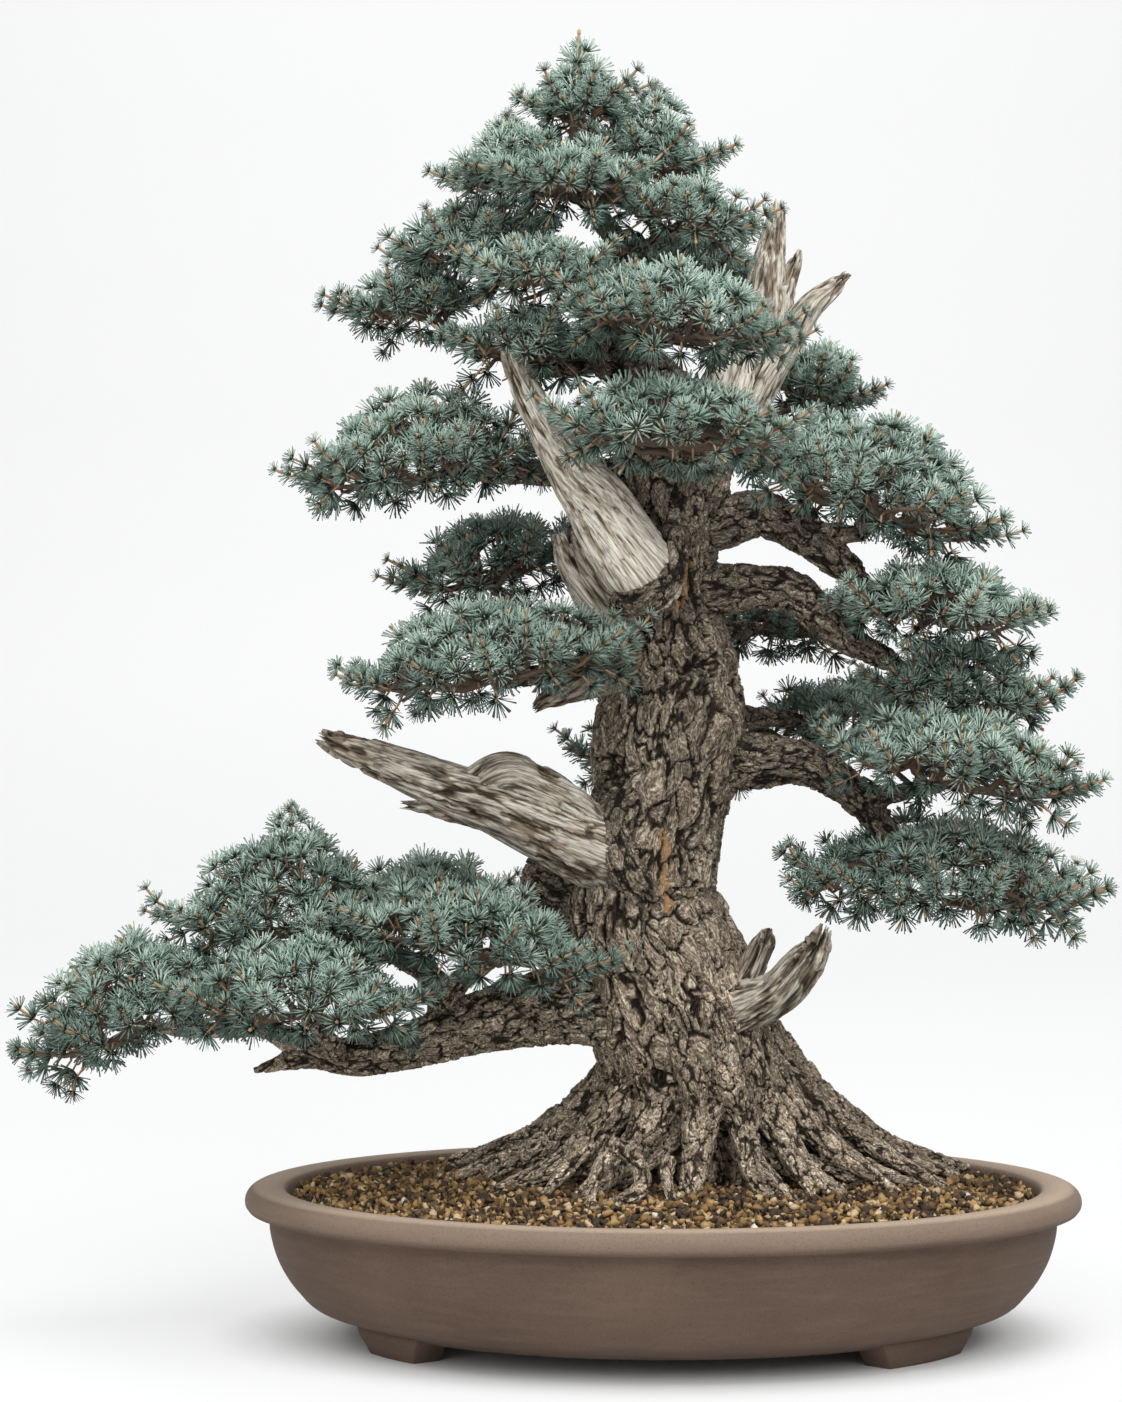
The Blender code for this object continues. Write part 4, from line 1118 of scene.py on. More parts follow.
def needle_rosette(rng):
    """Points and faces of one rosette about +Z: slivers with two crossed short edges."""
    points = []
    faces = []
    slots = [
        (math.tau * i / count, lowest, highest)
        for count, lowest, highest in NEEDLE_RINGS for i in range(count)
    ]
    for angle, lowest, highest in slots:
        rise = rng.uniform(lowest, highest)
        angle += rng.uniform(-0.13, 0.13)
        flat = math.sqrt(1.0 - rise ** 2)
        way = Vector((flat * math.cos(angle), flat * math.sin(angle), rise))
        side = way.cross(Vector((0.3, 0.2, 1.0))).normalized()
        other = way.cross(side)
        spin = rng.uniform(0, math.pi)
        across = side * math.cos(spin) + other * math.sin(spin)
        along = way.cross(across)
        length = NEEDLE_LENGTH * rng.uniform(0.86, 1.10)
        start = way * NEEDLE_START
        tip = way * length + Vector((0, 0, rng.uniform(-0.0008, 0.0012)))
        first = len(points)
        points += [
            start + across * NEEDLE_WIDTH / 2, start - across * NEEDLE_WIDTH / 2,
            tip + along * NEEDLE_TIP_WIDTH / 2, tip - along * NEEDLE_TIP_WIDTH / 2,
        ]
        corners = [(0, 1, 2), (1, 0, 3), (2, 3, 0), (3, 2, 1)]
        faces += [(first + a, first + b, first + c) for a, b, c in corners]
    points = np.array([tuple(point) for point in points])
    faces = np.array(faces)
    middle = points.reshape(-1, 4, 3).mean(axis=1).repeat(4, axis=0)
    corners = points[faces]
    normal = np.cross(corners[:, 1] - corners[:, 0], corners[:, 2] - corners[:, 0])
    inward = (normal * (corners.mean(axis=1) - middle)).sum(axis=1) < 0
    faces[inward] = faces[inward][:, ::-1]
    return points, faces


def spindle(radius, length, sides=5):
    """A bud about +Z from the origin, as points and triangles."""
    shape = bmesh.new()
    bmesh.ops.create_uvsphere(shape, u_segments=sides, v_segments=3, radius=1.0)
    bmesh.ops.translate(shape, vec=(0, 0, 1.0), verts=shape.verts)
    bmesh.ops.scale(shape, vec=(radius, radius, length / 2), verts=shape.verts)
    bmesh.ops.triangulate(shape, faces=shape.faces)
    return as_arrays(shape)


def frame_for(axis, spin):
    """A rotation that takes +Z to an axis, with a spin about it."""
    return np.array(axis.to_track_quat("Z", "Y").to_matrix() @ Matrix.Rotation(spin, 3, "Z"))


def strewn(template, places):
    """Copies of a template at (turn, scale, place) rows, as one array of points and one of faces."""
    points, faces = template
    turns = np.array([turn * scale for turn, scale, _ in places])
    moves = np.array([tuple(place) for _, _, place in places])
    spread = np.einsum("nij,pj->npi", turns, points) + moves[:, None, :]
    index = faces[None, :, :] + (np.arange(len(places)) * len(points))[:, None, None]
    return spread.reshape(-1, 3), index.reshape(-1, faces.shape[1])


def dressed(obj, slot, *finishes):
    """Gives a piece its materials and its body. Its slot is not used."""
    for finish in finishes:
        obj.data.materials.append(finish)
    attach(obj, "root")
    return obj


def joined(name, parts, slot, finishes):
    """Joined meshes of many small things, split so that each stays under a number of triangles."""
    piles = [[]]
    count = 0
    for part in parts:
        if count + len(part[1]) > MOST_TRIANGLES:
            piles.append([])
            count = 0
        piles[-1].append(part)
        count += len(part[1])
    made = []
    for number, pile in enumerate(piles, 1):
        starts = np.cumsum([0] + [len(points) for points, _, _ in pile])
        points = np.concatenate([part[0] for part in pile])
        faces = np.concatenate([part[1] + start for part, start in zip(pile, starts)])
        kinds = np.concatenate([np.broadcast_to(part[2], len(part[1])) for part in pile])
        made.append(dressed(from_arrays(f"{name}_{number}", points, faces, kinds), slot, *finishes))
    return made


def twig_tube(stations, sides=4):
    """A thin twig as points and triangles, open at its root and closed to a point at its tip."""
    tangents, normals, binormals, _ = frames_along(stations)
    angles = np.arange(sides) * math.tau / sides
    ring = np.cos(angles)[None, :, None] * normals[:, None, :]
    ring = ring + np.sin(angles)[None, :, None] * binormals[:, None, :]
    points = stations[:, None, :3] + ring * stations[:, None, 3:4]
    points = np.concatenate([points.reshape(-1, 3), stations[-1:, :3] + tangents[-1:] * stations[-1, 3]])
    faces = []
    for i in range(len(stations) - 1):
        for j in range(sides):
            a = i * sides + j
            b = i * sides + (j + 1) % sides
            faces += [(a, b, b + sides), (a, b + sides, a + sides)]
    last = (len(stations) - 1) * sides
    for j in range(sides):
        faces.append((last + j, last + (j + 1) % sides, len(points) - 1))
    return points, np.array(faces)


class Growth:
    """What grows on the limbs: needles, twigs and buds, each kind gathered apart."""

    def __init__(self):
        self.rng = random.Random(f"{SEED} needles")
        self.templates = [needle_rosette(self.rng) for _ in range(NEEDLE_KINDS)]
        self.tuft = spindle(*TUFT)
        self.tip_bud = spindle(*TIP_BUD)
        self.needles, self.twigs, self.buds, self.heavy = [], [], [], []
        self.groups = {}

    def shoot(self, start, end, radii, sides=4):
        """A straight tan shoot."""
        stations = np.array([(*start, radii[0]), (*end, radii[1])])
        self.twigs.append((*twig_tube(stations, sides), 1))

    def bud(self, shape, axis, size, place, kind):
        self.buds.append((*strewn(shape, [(frame_for(axis, 0.0), size, place)]), kind))

    def rosette(self, template, kind, row):
        """Keeps a rosette as turn, size and place with those of its template and shade."""
        self.groups.setdefault((template, kind), []).append(row)

    def some_rosette(self, kind, axis, size, place):
        """A rosette of any template, spun by chance."""
        template = self.rng.randrange(NEEDLE_KINDS)
        spin = self.rng.uniform(0, math.tau)
        self.rosette(template, kind, (frame_for(axis, spin), size, place))

    def twigs_of(self, array, parents, radii, loads):
        """The twigs of one pad. The thickest are kept apart, for the bark to cover."""
        for i, parent in enumerate(parents):
            if parent < 0 or loads[i] == 0:
                continue
            first, second = array[parent], array[i]
            wide = min(radii[parent], 1.35 * radii[i]) if parent else radii[i]
            if radii[i] > HEAVY_RADIUS:
                self.heavy.append(np.array([(*first, wide), (*second, radii[i])]))
                continue
            bend = np.array([self.rng.uniform(-1, 1) for _ in range(3)]) * TWIG_BEND
            middle = (first + second) / 2 + bend
            stations = np.array([(*first, wide), (*middle, radii[i] * 1.1), (*second, radii[i])])
            self.twigs.append((*twig_tube(stations), 0))

    def rosette_and_shoots(self, foot, place, axis, size, shade, edge):
        """A rosette on its spur, and by chance a bare shoot beside it or a shoot past the rim."""
        self.shoot(foot, place, (TWIG_RADIUS * 1.25, TWIG_RADIUS * 1.1), 3)
        kind = shade_of(shade, self.rng)
        self.some_rosette(kind, axis, size, place)
        shape = self.tip_bud if edge and self.rng.random() < RIM_BUDS else self.tuft
        self.bud(shape, axis, size, place, self.rng.randrange(2))
        if self.rng.random() < SIDE_SHOOTS:
            end = place + axis * SIDE_SHOOT_LENGTH * size
            self.shoot(place, end, SIDE_SHOOT_RADII)
            self.bud(self.tip_bud, axis, 0.8 * size, end, self.rng.randrange(2))
        if edge and self.rng.random() < RIM_SHOOTS:
            further = place + axis * RIM_SHOOT_LENGTH
            if in_box(further):
                self.shoot(place, further, RIM_SHOOT_RADII)
                self.some_rosette(kind, axis, 0.72 * size, further)
                self.bud(self.tip_bud, axis, size, further, self.rng.randrange(2))

    def spire(self, row):
        """A small cone of rosettes that stands on a pad's top."""
        top = Space(*row[2:]).world((0.0, 0.0, row[3][2] * MM - SPIRE_DEPTH))
        for i in range(SPIRE_COUNT):
            angle = i * GOLDEN_ANGLE
            flat = Vector((math.cos(angle), math.sin(angle), 0.0))
            out = SPIRE_SPREAD * (1.0 - i / (SPIRE_COUNT - 1))
            place = top + out * flat + Vector((0.0, 0.0, SPIRE_STEP * i))
            axis = (0.8 * flat + Vector((0.0, 0.0, 1.0))).normalized()
            self.rosette(i % NEEDLE_KINDS, 2, (frame_for(axis, angle), 0.92 - 0.065 * i, place))
            self.bud(self.tip_bud, axis, 0.8, place, i % 2)
        self.shoot(top - Vector((0, 0, SPIRE_STEM)), place, SPIRE_RADII, 5)

    def gather(self):
        """Turns one pad's rosettes into parts, by template and shade."""
        for (template, kind), places in sorted(self.groups.items()):
            part = strewn(self.templates[template], places)
            self.needles.append((*part, toned(kind, len(places))))
        self.groups = {}

    def leader(self):
        """The trunk's thin top, brown and then tan, with rosettes round it and a bud at its tip."""
        stations = on_curve(TRUNK[LEADER_FROM:], 5)[:-1]
        self.twigs.append((*twig_tube(stations[:-8], 8), 0))
        self.twigs.append((*twig_tube(stations[-9:], 8), 1))
        self.buds.append((*strewn(self.tip_bud, [(np.eye(3), 1.0, stations[-1][:3])]), 0))
        for i, station in enumerate(evenly(stations, LEADER_STEP)[5:-1]):
            angle = i * GOLDEN_ANGLE
            axis = Vector((math.cos(angle), math.sin(angle), 1.1)).normalized()
            size = max(0.30, 0.92 - 0.060 * i)
            row = (frame_for(axis, angle), size, Vector(station[:3]) + LEADER_SKIN * axis)
            part = strewn(self.templates[i % NEEDLE_KINDS], [row])
            self.needles.append((*part, toned(1 + i % 2, 1)))
            self.buds.append((*strewn(self.tuft, [row]), 0))


def build_foliage(reach, finishes):
    """All pads: needles, twigs and buds as joined pieces, and the heavy twigs that the bark will cover."""
    growth = Growth()
    for row in PADS:
        array, parents, radii, loads, rosettes = grow_pad(row, reach)
        growth.twigs_of(array, parents, radii, loads)
        for node, *rest in rosettes:
            growth.rosette_and_shoots(Vector(array[node]), *rest)
        if row[0] in SPIRES:
            growth.spire(row)
        growth.gather()
    growth.leader()
    pieces = joined("needles", growth.needles, "needles", finishes["needles"])
    pieces += joined("twigs", growth.twigs, "bark", finishes["twigs"])
    pieces += joined("buds", growth.buds, "bark", finishes["buds"])
    for name, *_ in PADS:
        for piece in pieces:
            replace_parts(piece, "foliage_" + name)
    return growth.heavy


def toned(kind, count):
    """Colours for the faces of some rosettes: lighter needles in the upturned inner ring as painted light, a
    few darker outside as painted shade.
    """
    needles = np.arange(NEEDLES * count) % NEEDLES
    inner = needles < NEEDLE_RINGS[0][0]
    step = np.where(inner, needles % 2, -(needles % 4 == 0).astype(int))
    return np.clip(kind + step, 0, len(NEEDLE_COLOURS) - 1).repeat(4)


def shade_of(shade, rng):
    """Which needle colour a rosette takes, with some chance: darker below and inside as painted shade,
    lighter where it faces up as painted light.
    """
    value = shade + rng.uniform(-0.45, 0.45)
    if value < 0.25:
        return 0
    if value < 0.62:
        return 1
    return 2 if value < 1.0 else 3


# Bark


def straightened(points, limbs):
    """Each point as if its nearest limb were straight: across, across, along, with radius and plate size."""
    rows = []
    for number, limb in enumerate(limbs):
        stations = evenly(limb, CENTRE_STEP)
        tangents, normals, binormals, length = frames_along(stations)
        size = np.clip(PLATE_SHARE * stations[:, 3], PLATE_SMALLEST, PLATE_LARGEST)
        plates_along = np.cumsum(np.diff(length, prepend=0.0) / size)
        limb_number = np.full(len(stations), number)
        rows.append(np.column_stack([
            stations, tangents, normals, binormals, plates_along, size, limb_number,
        ]))
    rows = np.concatenate(rows)
    nearest = np.zeros(len(points), np.int64)
    square = (rows[:, :3] ** 2).sum(axis=1)
    for first in range(0, len(points), CHUNK):
        some = points[first:first + CHUNK]
        apart = (some ** 2).sum(axis=1)[:, None] + square[None, :] - 2.0 * some @ rows[:, :3].T
        apart = np.sqrt(np.maximum(apart, 0.0)) - rows[None, :, 3]
        nearest[first:first + CHUNK] = apart.argmin(axis=1)
    middle, radius, tangent, normal, binormal, plates_along, size, limb_number = np.split(
        rows[nearest], (3, 4, 7, 10, 13, 14, 15), axis=1,
    )
    away = points - middle
    shares = [(away * way).sum(axis=1) for way in (normal, binormal, tangent)]
    across, other, along = np.array(shares) / size[:, 0]
    across += limb_number[:, 0] * LIMB_SALT
    along += plates_along[:, 0]
    return np.column_stack([across, other, along / PLATE_STRETCH]), radius[:, 0], size[:, 0]


def bark_relief(points, limbs):
    """How far the bark stands out at each point, and the values that colour it."""
    flow, radius, size = straightened(points, limbs)
    warp = np.column_stack([clouds(flow * 1.3, 30 + axis, 3) for axis in range(3)]) - 0.5
    bent = flow + 1.3 * warp
    gap, number, along = plates(bent, 1)
    small_gap, small_number, small_along = plates(bent * 2.6 + 7.0, 11)
    crack = (0.05 + CRACK_WIDTH / size) * (0.35 + 1.3 * clouds(flow * 0.9, 60, 2))
    plate = smoothstep(0.1 * crack, crack, gap)
    scale = smoothstep(0.0, 0.20, small_gap)
    ridges = 1.0 - np.abs(2.0 * clouds(bent * (5.0, 5.0, 3.0), 40, 3) - 1.0)
    grain = clouds(points / 0.0022, 50, 2)
    height = plate * (0.46 + 0.34 * number + 0.46 * np.clip(0.5 - along, 0.0, 1.0))
    height += plate * (0.16 * scale + 0.16 * small_number - 0.16 * small_along)
    height += 0.22 * (ridges - 0.6) + 0.20 * (grain - 0.5)
    amount = np.clip(RELIEF_SHARE * radius + 0.0005, RELIEF_SMALLEST, RELIEF_LARGEST)
    lumps = clouds(points / LUMP_WIDTH, 70, 2) - 0.5
    push = amount * (1.3 * height - 0.85) + 0.16 * np.minimum(radius, 0.04) * lumps
    # Partly the dark of the fissures, partly painted shade: darker in the cracks between plates and between
    # the small scales.
    shade = plate * (0.30 + 0.50 * scale + 0.20 * ridges)
    low = 1.0 - smoothstep(0.10, 0.34, points[:, 2])
    young = (1.0 - smoothstep(0.020, 0.045, radius)) * (1.0 - low)
    tone = 0.05 + 0.22 * number + 0.22 * small_number + 0.39 * low - 0.10 * young
    return push, np.clip(shade, 0.0, 1.0), tone, bent


def knot_push(points):
    """A healed knot on the trunk's front: a ring that stands proud round a pit."""
    apart = np.hypot((points[:, 0] - KNOT[0]) / 1.3, points[:, 2] - KNOT[1]) / KNOT_RADIUS
    apart += 0.9 * (clouds(points / 0.006, 95, 2) - 0.5)
    front = points[:, 1] < 0.0
    ring = np.exp(-((apart - 1.45) / 0.45) ** 2) * front
    pit = np.exp(-(apart / 0.75) ** 2) * front
    return KNOT_RING * ring - KNOT_PIT * pit, pit


def scar_share(points):
    """How much of a raw scar each point shows."""
    scars = np.zeros(len(points))
    for place, size in SCARS:
        apart = np.linalg.norm((points - np.array(place)) / np.array(size), axis=1)
        edge = apart + 2.6 * (clouds(points / SCAR_MARKS, 90, 2) - 0.5)
        scars = np.maximum(scars, 1.0 - smoothstep(0.80, 1.0, edge))
    return scars


def joined_skin(tubes):
    """One closed skin over tubes that cross, as the mesh of a remeshed object."""
    shape = bmesh.new()
    for sides, stations in tubes:
        mesh = tube_mesh(stations, sides)
        shape.from_mesh(mesh)
        bpy.data.meshes.remove(mesh)
    bmesh.ops.remove_doubles(shape, verts=shape.verts, dist=0.1 * WELD)
    skin = from_bmesh("skin", shape)
    remesh = skin.modifiers.new("join", "REMESH")
    remesh.mode = "VOXEL"
    remesh.voxel_size = BARK_VOXEL
    smooth = skin.modifiers.new("soften", "SMOOTH")
    smooth.factor = 0.5
    smooth.iterations = 3
    fine = skin.modifiers.new("fine", "SUBSURF")
    fine.levels = 1
    fine.render_levels = 1
    mesh = baked(skin).data
    bpy.data.objects.remove(skin)
    return mesh


def build_bark(live, roots, heavy, finish):
    """One skin over trunk, roots, boughs and heavy twigs, with its relief, cut into pieces."""
    tubes = [(sides, limb) for sides, limbs in ((16, live), (10, roots), (6, heavy)) for limb in limbs]
    mesh = joined_skin(tubes)
    points = read_points(mesh)
    normals = read_points(mesh, "normal")
    faces = np.zeros(len(mesh.loops), np.int32)
    mesh.loops.foreach_get("vertex_index", faces)
    faces = faces.reshape(-1, 4)
    bpy.data.meshes.remove(mesh)
    push, shade, tone, flow = bark_relief(points, live + roots + heavy)
    ring, pit = knot_push(points)
    # Painted shade: the knot's pit is darkened.
    shade = shade * (1.0 - smoothstep(0.30, 0.75, pit))
    scar = scar_share(points) * 0.75 * smoothstep(0.3, 0.6, shade)
    values = {"relief": shade, "tone": tone, "scar": scar, "flow": flow}
    points = points + normals * (push + ring)[:, None]
    zones = np.digitize(points[faces].mean(axis=1)[:, 2], BARK_ZONES)
    for zone, name in enumerate(BARK_NAMES):
        used, index = np.unique(faces[zones == zone], return_inverse=True)
        piece = from_arrays(name, points[used], index.reshape(-1, 4))
        for label, value in values.items():
            add_values(piece.data, label, value[used])
        piece.data.shade_smooth()
        dressed(piece, "bark", finish)
        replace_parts(piece, "trunk")
        for bough, *_ in BOUGHS:
            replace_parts(piece, "bough_" + bough)


# Bare wood


def bare_limb(name, stations, pale, turns, salt):
    """A weathered dead limb: grooves and checks that follow its twisting grain, and a splintered end."""
    stations = evenly(stations, BARE_STEP)
    _, normals, binormals, length = frames_along(stations)
    rings = len(stations)
    shape = bmesh.new()
    bmesh.ops.create_grid(shape, x_segments=BARE_SIDES, y_segments=rings - 1, size=0.5)
    obj = from_bmesh(name, shape)
    flat = read_points(obj.data)
    around = np.rint((flat[:, 0] + 0.5) * BARE_SIDES)
    ring = np.rint((flat[:, 1] + 0.5) * (rings - 1)).astype(int)
    angle = (around % BARE_SIDES) * math.tau / BARE_SIDES
    total = length[-1]
    wheel = np.column_stack([np.cos(angle), np.sin(angle)])
    teeth = clouds(np.column_stack([wheel * 2.6, np.full(len(angle), salt)]), salt + 20, 2)
    end = total - RAGGED_END * smoothstep(0.32, 0.66, teeth)
    inside = np.clip((length[ring] - end) / (total + 0.5 * HOLLOW_END - end), 0.0, 1.0)
    along = np.minimum(length[ring], end) - HOLLOW_END * inside
    middle = np.column_stack([np.interp(along, length, stations[:, axis]) for axis in range(3)])
    radius = np.interp(along, length, stations[:, 3])
    turn = angle + turns * math.tau * along / total
    wheel = np.column_stack([np.cos(turn), np.sin(turn)])
    skin = wheel * radius[:, None]

    def pattern(mark, own_salt, start=salt):
        """Lumps of a mark's width and length that follow the grain."""
        width, reach = mark
        return clouds(np.column_stack([skin / width, along / reach + start]), salt + own_salt, 2)

    lobes = clouds(np.column_stack([wheel * 1.3, along / 0.060 + salt]), salt, 2) - 0.5
    slits = smoothstep(0.86, 0.98, 1.0 - np.abs(2.0 * pattern(GROOVES, 5) - 1.0))
    fibres = pattern(FIBRES, 9)
    gaps, _, _ = plates(np.column_stack([skin / CHECKS[0], along / CHECKS[1] + salt]), salt + 13)
    check = (1.0 - smoothstep(0.0, 0.11, gaps)) * smoothstep(0.46, 0.58, pattern(BARE_OF_CHECKS, 50))
    chips = smoothstep(0.60, 0.66, pattern(CHIPS, 30, 0.0))
    faded = 1.0 - 0.6 * smoothstep(0.20, 0.75, along / total)
    paleness = np.clip(pale * faded + 0.36 * (pattern(FADED_PATCHES, 40, 0.0) - 0.5), 0.0, 1.0)
    if pale <= DARKEST:
        paleness = np.full(len(flat), pale)
    rough = 1.15 - 0.75 * paleness
    push = 0.18 * radius * lobes + BARE_SKIN
    push -= rough * (SLIT_DEPTH * slits + CHECK_DEPTH * check + CHIP_DEPTH * chips)
    push += rough * FIBRE_DEPTH * (fibres - 0.5)
    out = np.maximum(radius + push, 0.0005) * (1.0 - inside)
    way = np.cos(angle)[:, None] * normals[ring] + np.sin(angle)[:, None] * binormals[ring]
    write_points(obj.data, middle + way * out[:, None])
    # Painted shade: darker in the slits, checks and chips and inside the hollow end; fibres and how pale the
    # limb is also set it.
    relief = 0.80 - rough * (0.24 * slits + 0.85 * check + 0.50 * chips) + 0.26 * (fibres - 0.5)
    relief = np.clip(relief, 0.0, 1.0) * (1.0 - 0.5 * inside) * (0.45 + 0.55 * min(1.0, pale / 0.2))
    add_values(obj.data, "relief", relief)
    add_values(obj.data, "pale", paleness)
    add_values(obj.data, "flow", np.column_stack([skin, along]) + salt * 0.37)
    weld = bmesh.new()
    weld.from_mesh(obj.data)
    bmesh.ops.remove_doubles(weld, verts=weld.verts, dist=WELD)
    bmesh.ops.holes_fill(weld, edges=[edge for edge in weld.edges if edge.is_boundary], sides=0)
    bmesh.ops.recalc_face_normals(weld, faces=weld.faces)
    weld.to_mesh(obj.data)
    weld.free()
    obj.data.shade_smooth()
    return obj


def build_bare_wood(bare, finish):
    """Each dead limb and spur as its own piece."""
    for number, (name, stations) in enumerate(bare):
        limb = bare_limb(f"bare_wood_{number + 1}", stations, *BLEACHED[name], 100 + 40 * number)
        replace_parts(dressed(limb, "deadwood", finish), "deadwood_" + name)


# Soil and pot


def grain_template(rng):
    """An angular soil grain a unit across: the hull of a few points."""
    shape = bmesh.new()
    for _ in range(9):
        way = Vector([rng.gauss(0, 1) for _ in range(3)]).normalized()
        shape.verts.new(way * rng.uniform(0.42, 0.56))
    hull = bmesh.ops.convex_hull(shape, input=shape.verts)
    spare = only(bmesh.types.BMVert, hull["geom_interior"])
    bmesh.ops.delete(shape, geom=spare, context="VERTS")
    bmesh.ops.recalc_face_normals(shape, faces=shape.faces)
    return as_arrays(shape)


def soil_height(x, y):
    """The soil stands a little higher round the trunk than along the rim."""
    share = ((x - POT_X) / SOIL_RADIUS) ** 2 + (y / OVAL / SOIL_RADIUS) ** 2
    return SOIL_TOP + SOIL_MOUND * (1.0 - share) - SOIL_DIP * share


def soil_bed(rng):
    """The dark bed of fine soil, its dark also painted shade between the grains: an uneven top of rings on a
    short wall, closed below.
    """
    shape = bmesh.new()
    bmesh.ops.create_circle(shape, cap_ends=False, segments=POT_STEPS, radius=SOIL_RADIUS + BED_LAP)
    edges = list(shape.edges)
    for i in range(BED_RINGS - 1):
        made = bmesh.ops.extrude_edge_only(shape, edges=edges)["geom"]
        edges = only(bmesh.types.BMEdge, made)
        share = (BED_RINGS - 1 - i) / (BED_RINGS - i)
        bmesh.ops.scale(shape, vec=(share, share, 1.0), verts=only(bmesh.types.BMVert, made))
    inner = [vertex for vertex in shape.verts if vertex.co.length < 1.5 * SOIL_RADIUS / BED_RINGS]
    bmesh.ops.contextual_create(shape, geom=inner)
    made_oval(shape)
    for vertex in shape.verts:
        level = soil_height(vertex.co.x, vertex.co.y) - BED_SINK
        vertex.co.z = level + rng.uniform(-BED_UNEVEN, BED_UNEVEN)
    outer = [edge for edge in shape.edges if edge.is_boundary]
    wall = bmesh.ops.extrude_edge_only(shape, edges=outer)["geom"]
    for vertex in only(bmesh.types.BMVert, wall):
        vertex.co.z = SOIL_TOP - BED_DEPTH
    rim = [edge for edge in only(bmesh.types.BMEdge, wall) if edge.is_boundary]
    bmesh.ops.contextual_create(shape, geom=rim)
    bmesh.ops.recalc_face_normals(shape, faces=shape.faces)
    return from_bmesh("soil_bed", shape)


def soil_grains(rng):
    """Angular grains all over the bed, but for the middle of the trunk, as joined parts by colour."""
    templates = [grain_template(rng) for _ in range(GRAIN_KINDS)]
    groups = {}
    across = int(2 * SOIL_RADIUS / GRAIN_SPACING) + 1
    for i, j in itertools.product(range(across), repeat=2):
        x = -SOIL_RADIUS + GRAIN_SPACING * (i + rng.uniform(-GRAIN_SHIFT, GRAIN_SHIFT))
        y = -SOIL_RADIUS + GRAIN_SPACING * (j + rng.uniform(-GRAIN_SHIFT, GRAIN_SHIFT))
        size = GRAIN_SIZE[0] + GRAIN_SIZE[1] * rng.random() ** 1.8
        kind = rng.choices(range(len(GRAIN_COLOURS)), GRAIN_SHARES)[0]
        lift = rng.uniform(*GRAIN_LIFT)
        turn = Vector([rng.gauss(0, 1) for _ in range(3)]).normalized()
        spin = rng.uniform(0, math.tau)
        template = rng.randrange(GRAIN_KINDS)
        if math.hypot(x, y) > SOIL_RADIUS - 0.5 * size:
            continue
        place = Vector((POT_X + x, y * OVAL, 0.0))
        if math.hypot(place.x - ROOT_HUB[0] * MM, place.y - ROOT_HUB[1] * MM) < GRAIN_CLEAR:
            continue
        place.z = soil_height(place.x, place.y) + lift
        if rng.random() > 0.80 + 0.20 * OVAL:
            continue
        groups.setdefault((template, kind), []).append((frame_for(turn, spin), size, place))
    return [
        (*strewn(templates[template], places), kind) for (template, kind), places in sorted(groups.items())
    ]


def build_soil(finishes):
    """The bed, with a layer of angular baked-clay grains on it."""
    rng = random.Random(f"{SEED} soil")
    bed = dressed(soil_bed(rng), "soil", finishes["bed"])
    bed.data.shade_smooth()
    for piece in [bed, *joined("soil_grains", soil_grains(rng), "soil", finishes["grains"])]:
        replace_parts(piece, "soil")


def arc(centre, radius, start, end, count):
    """Points of an arc in the profile plane, angles in degrees."""
    found = []
    for i in range(count + 1):
        angle = math.radians(start + (end - start) * i / count)
        found.append((centre[0] + radius * math.cos(angle), centre[1] + radius * math.sin(angle)))
    return found


def pot_profile():
    """Inner wall, rolled rim, undercut and swelling body, from the floor's middle round to the underside."""
    inner = [(0.0, FLOOR_TOP), (0.19, FLOOR_TOP), *arc((0.196, FLOOR_TOP + 0.018), 0.018, -80, -35, 4)]
    inner += [(0.224, FLOOR_TOP + 0.021), (0.240, 0.062), (0.2455, 0.080), (0.2475, 0.0955)]
    rim = arc((0.2515, 0.0955), 0.004, 180, 100, 4)
    rim += [(0.256, 0.0998), (0.262, POT_HEIGHT)]
    rim += arc((0.2655, 0.0905), 0.0095, 88, -18, 10)
    rim += [(0.2725, 0.0848), (0.2655, 0.0832)]
    body = [(0.2605, 0.0826), (0.2592, 0.0805)]
    swell = [(0.2592, 0.0805), (0.2582, 0.0690), (0.2540, 0.0540), (0.2465, 0.0400), (0.2370, 0.0285)]
    smooth = on_curve([(radius / MM, height / MM, 0, 0) for radius, height in swell], 4)[1:]
    body += [(row[0], row[1]) for row in smooth]
    body += arc((0.2175, 0.0449), 0.0255, -42, -70, 4)
    body += [(0.210, FOOT_HEIGHT + 0.0025), (0.203, FOOT_HEIGHT), (0.0, FOOT_HEIGHT)]
    return inner + rim + body


def spun(profile, name):
    """The profile spun about Z, squeezed to the pot's oval and moved to its place."""
    shape, corners, edges = linked([(radius, 0.0, height) for radius, height in profile])
    bmesh.ops.spin(
        shape, geom=corners + edges, cent=(0, 0, 0), axis=(0, 0, 1), angle=math.tau, steps=POT_STEPS,
        use_merge=True, use_duplicate=False,
    )
    bmesh.ops.remove_doubles(shape, verts=shape.verts, dist=WELD)
    made_oval(shape)
    bmesh.ops.recalc_face_normals(shape, faces=shape.faces)
    return from_bmesh(name, shape)


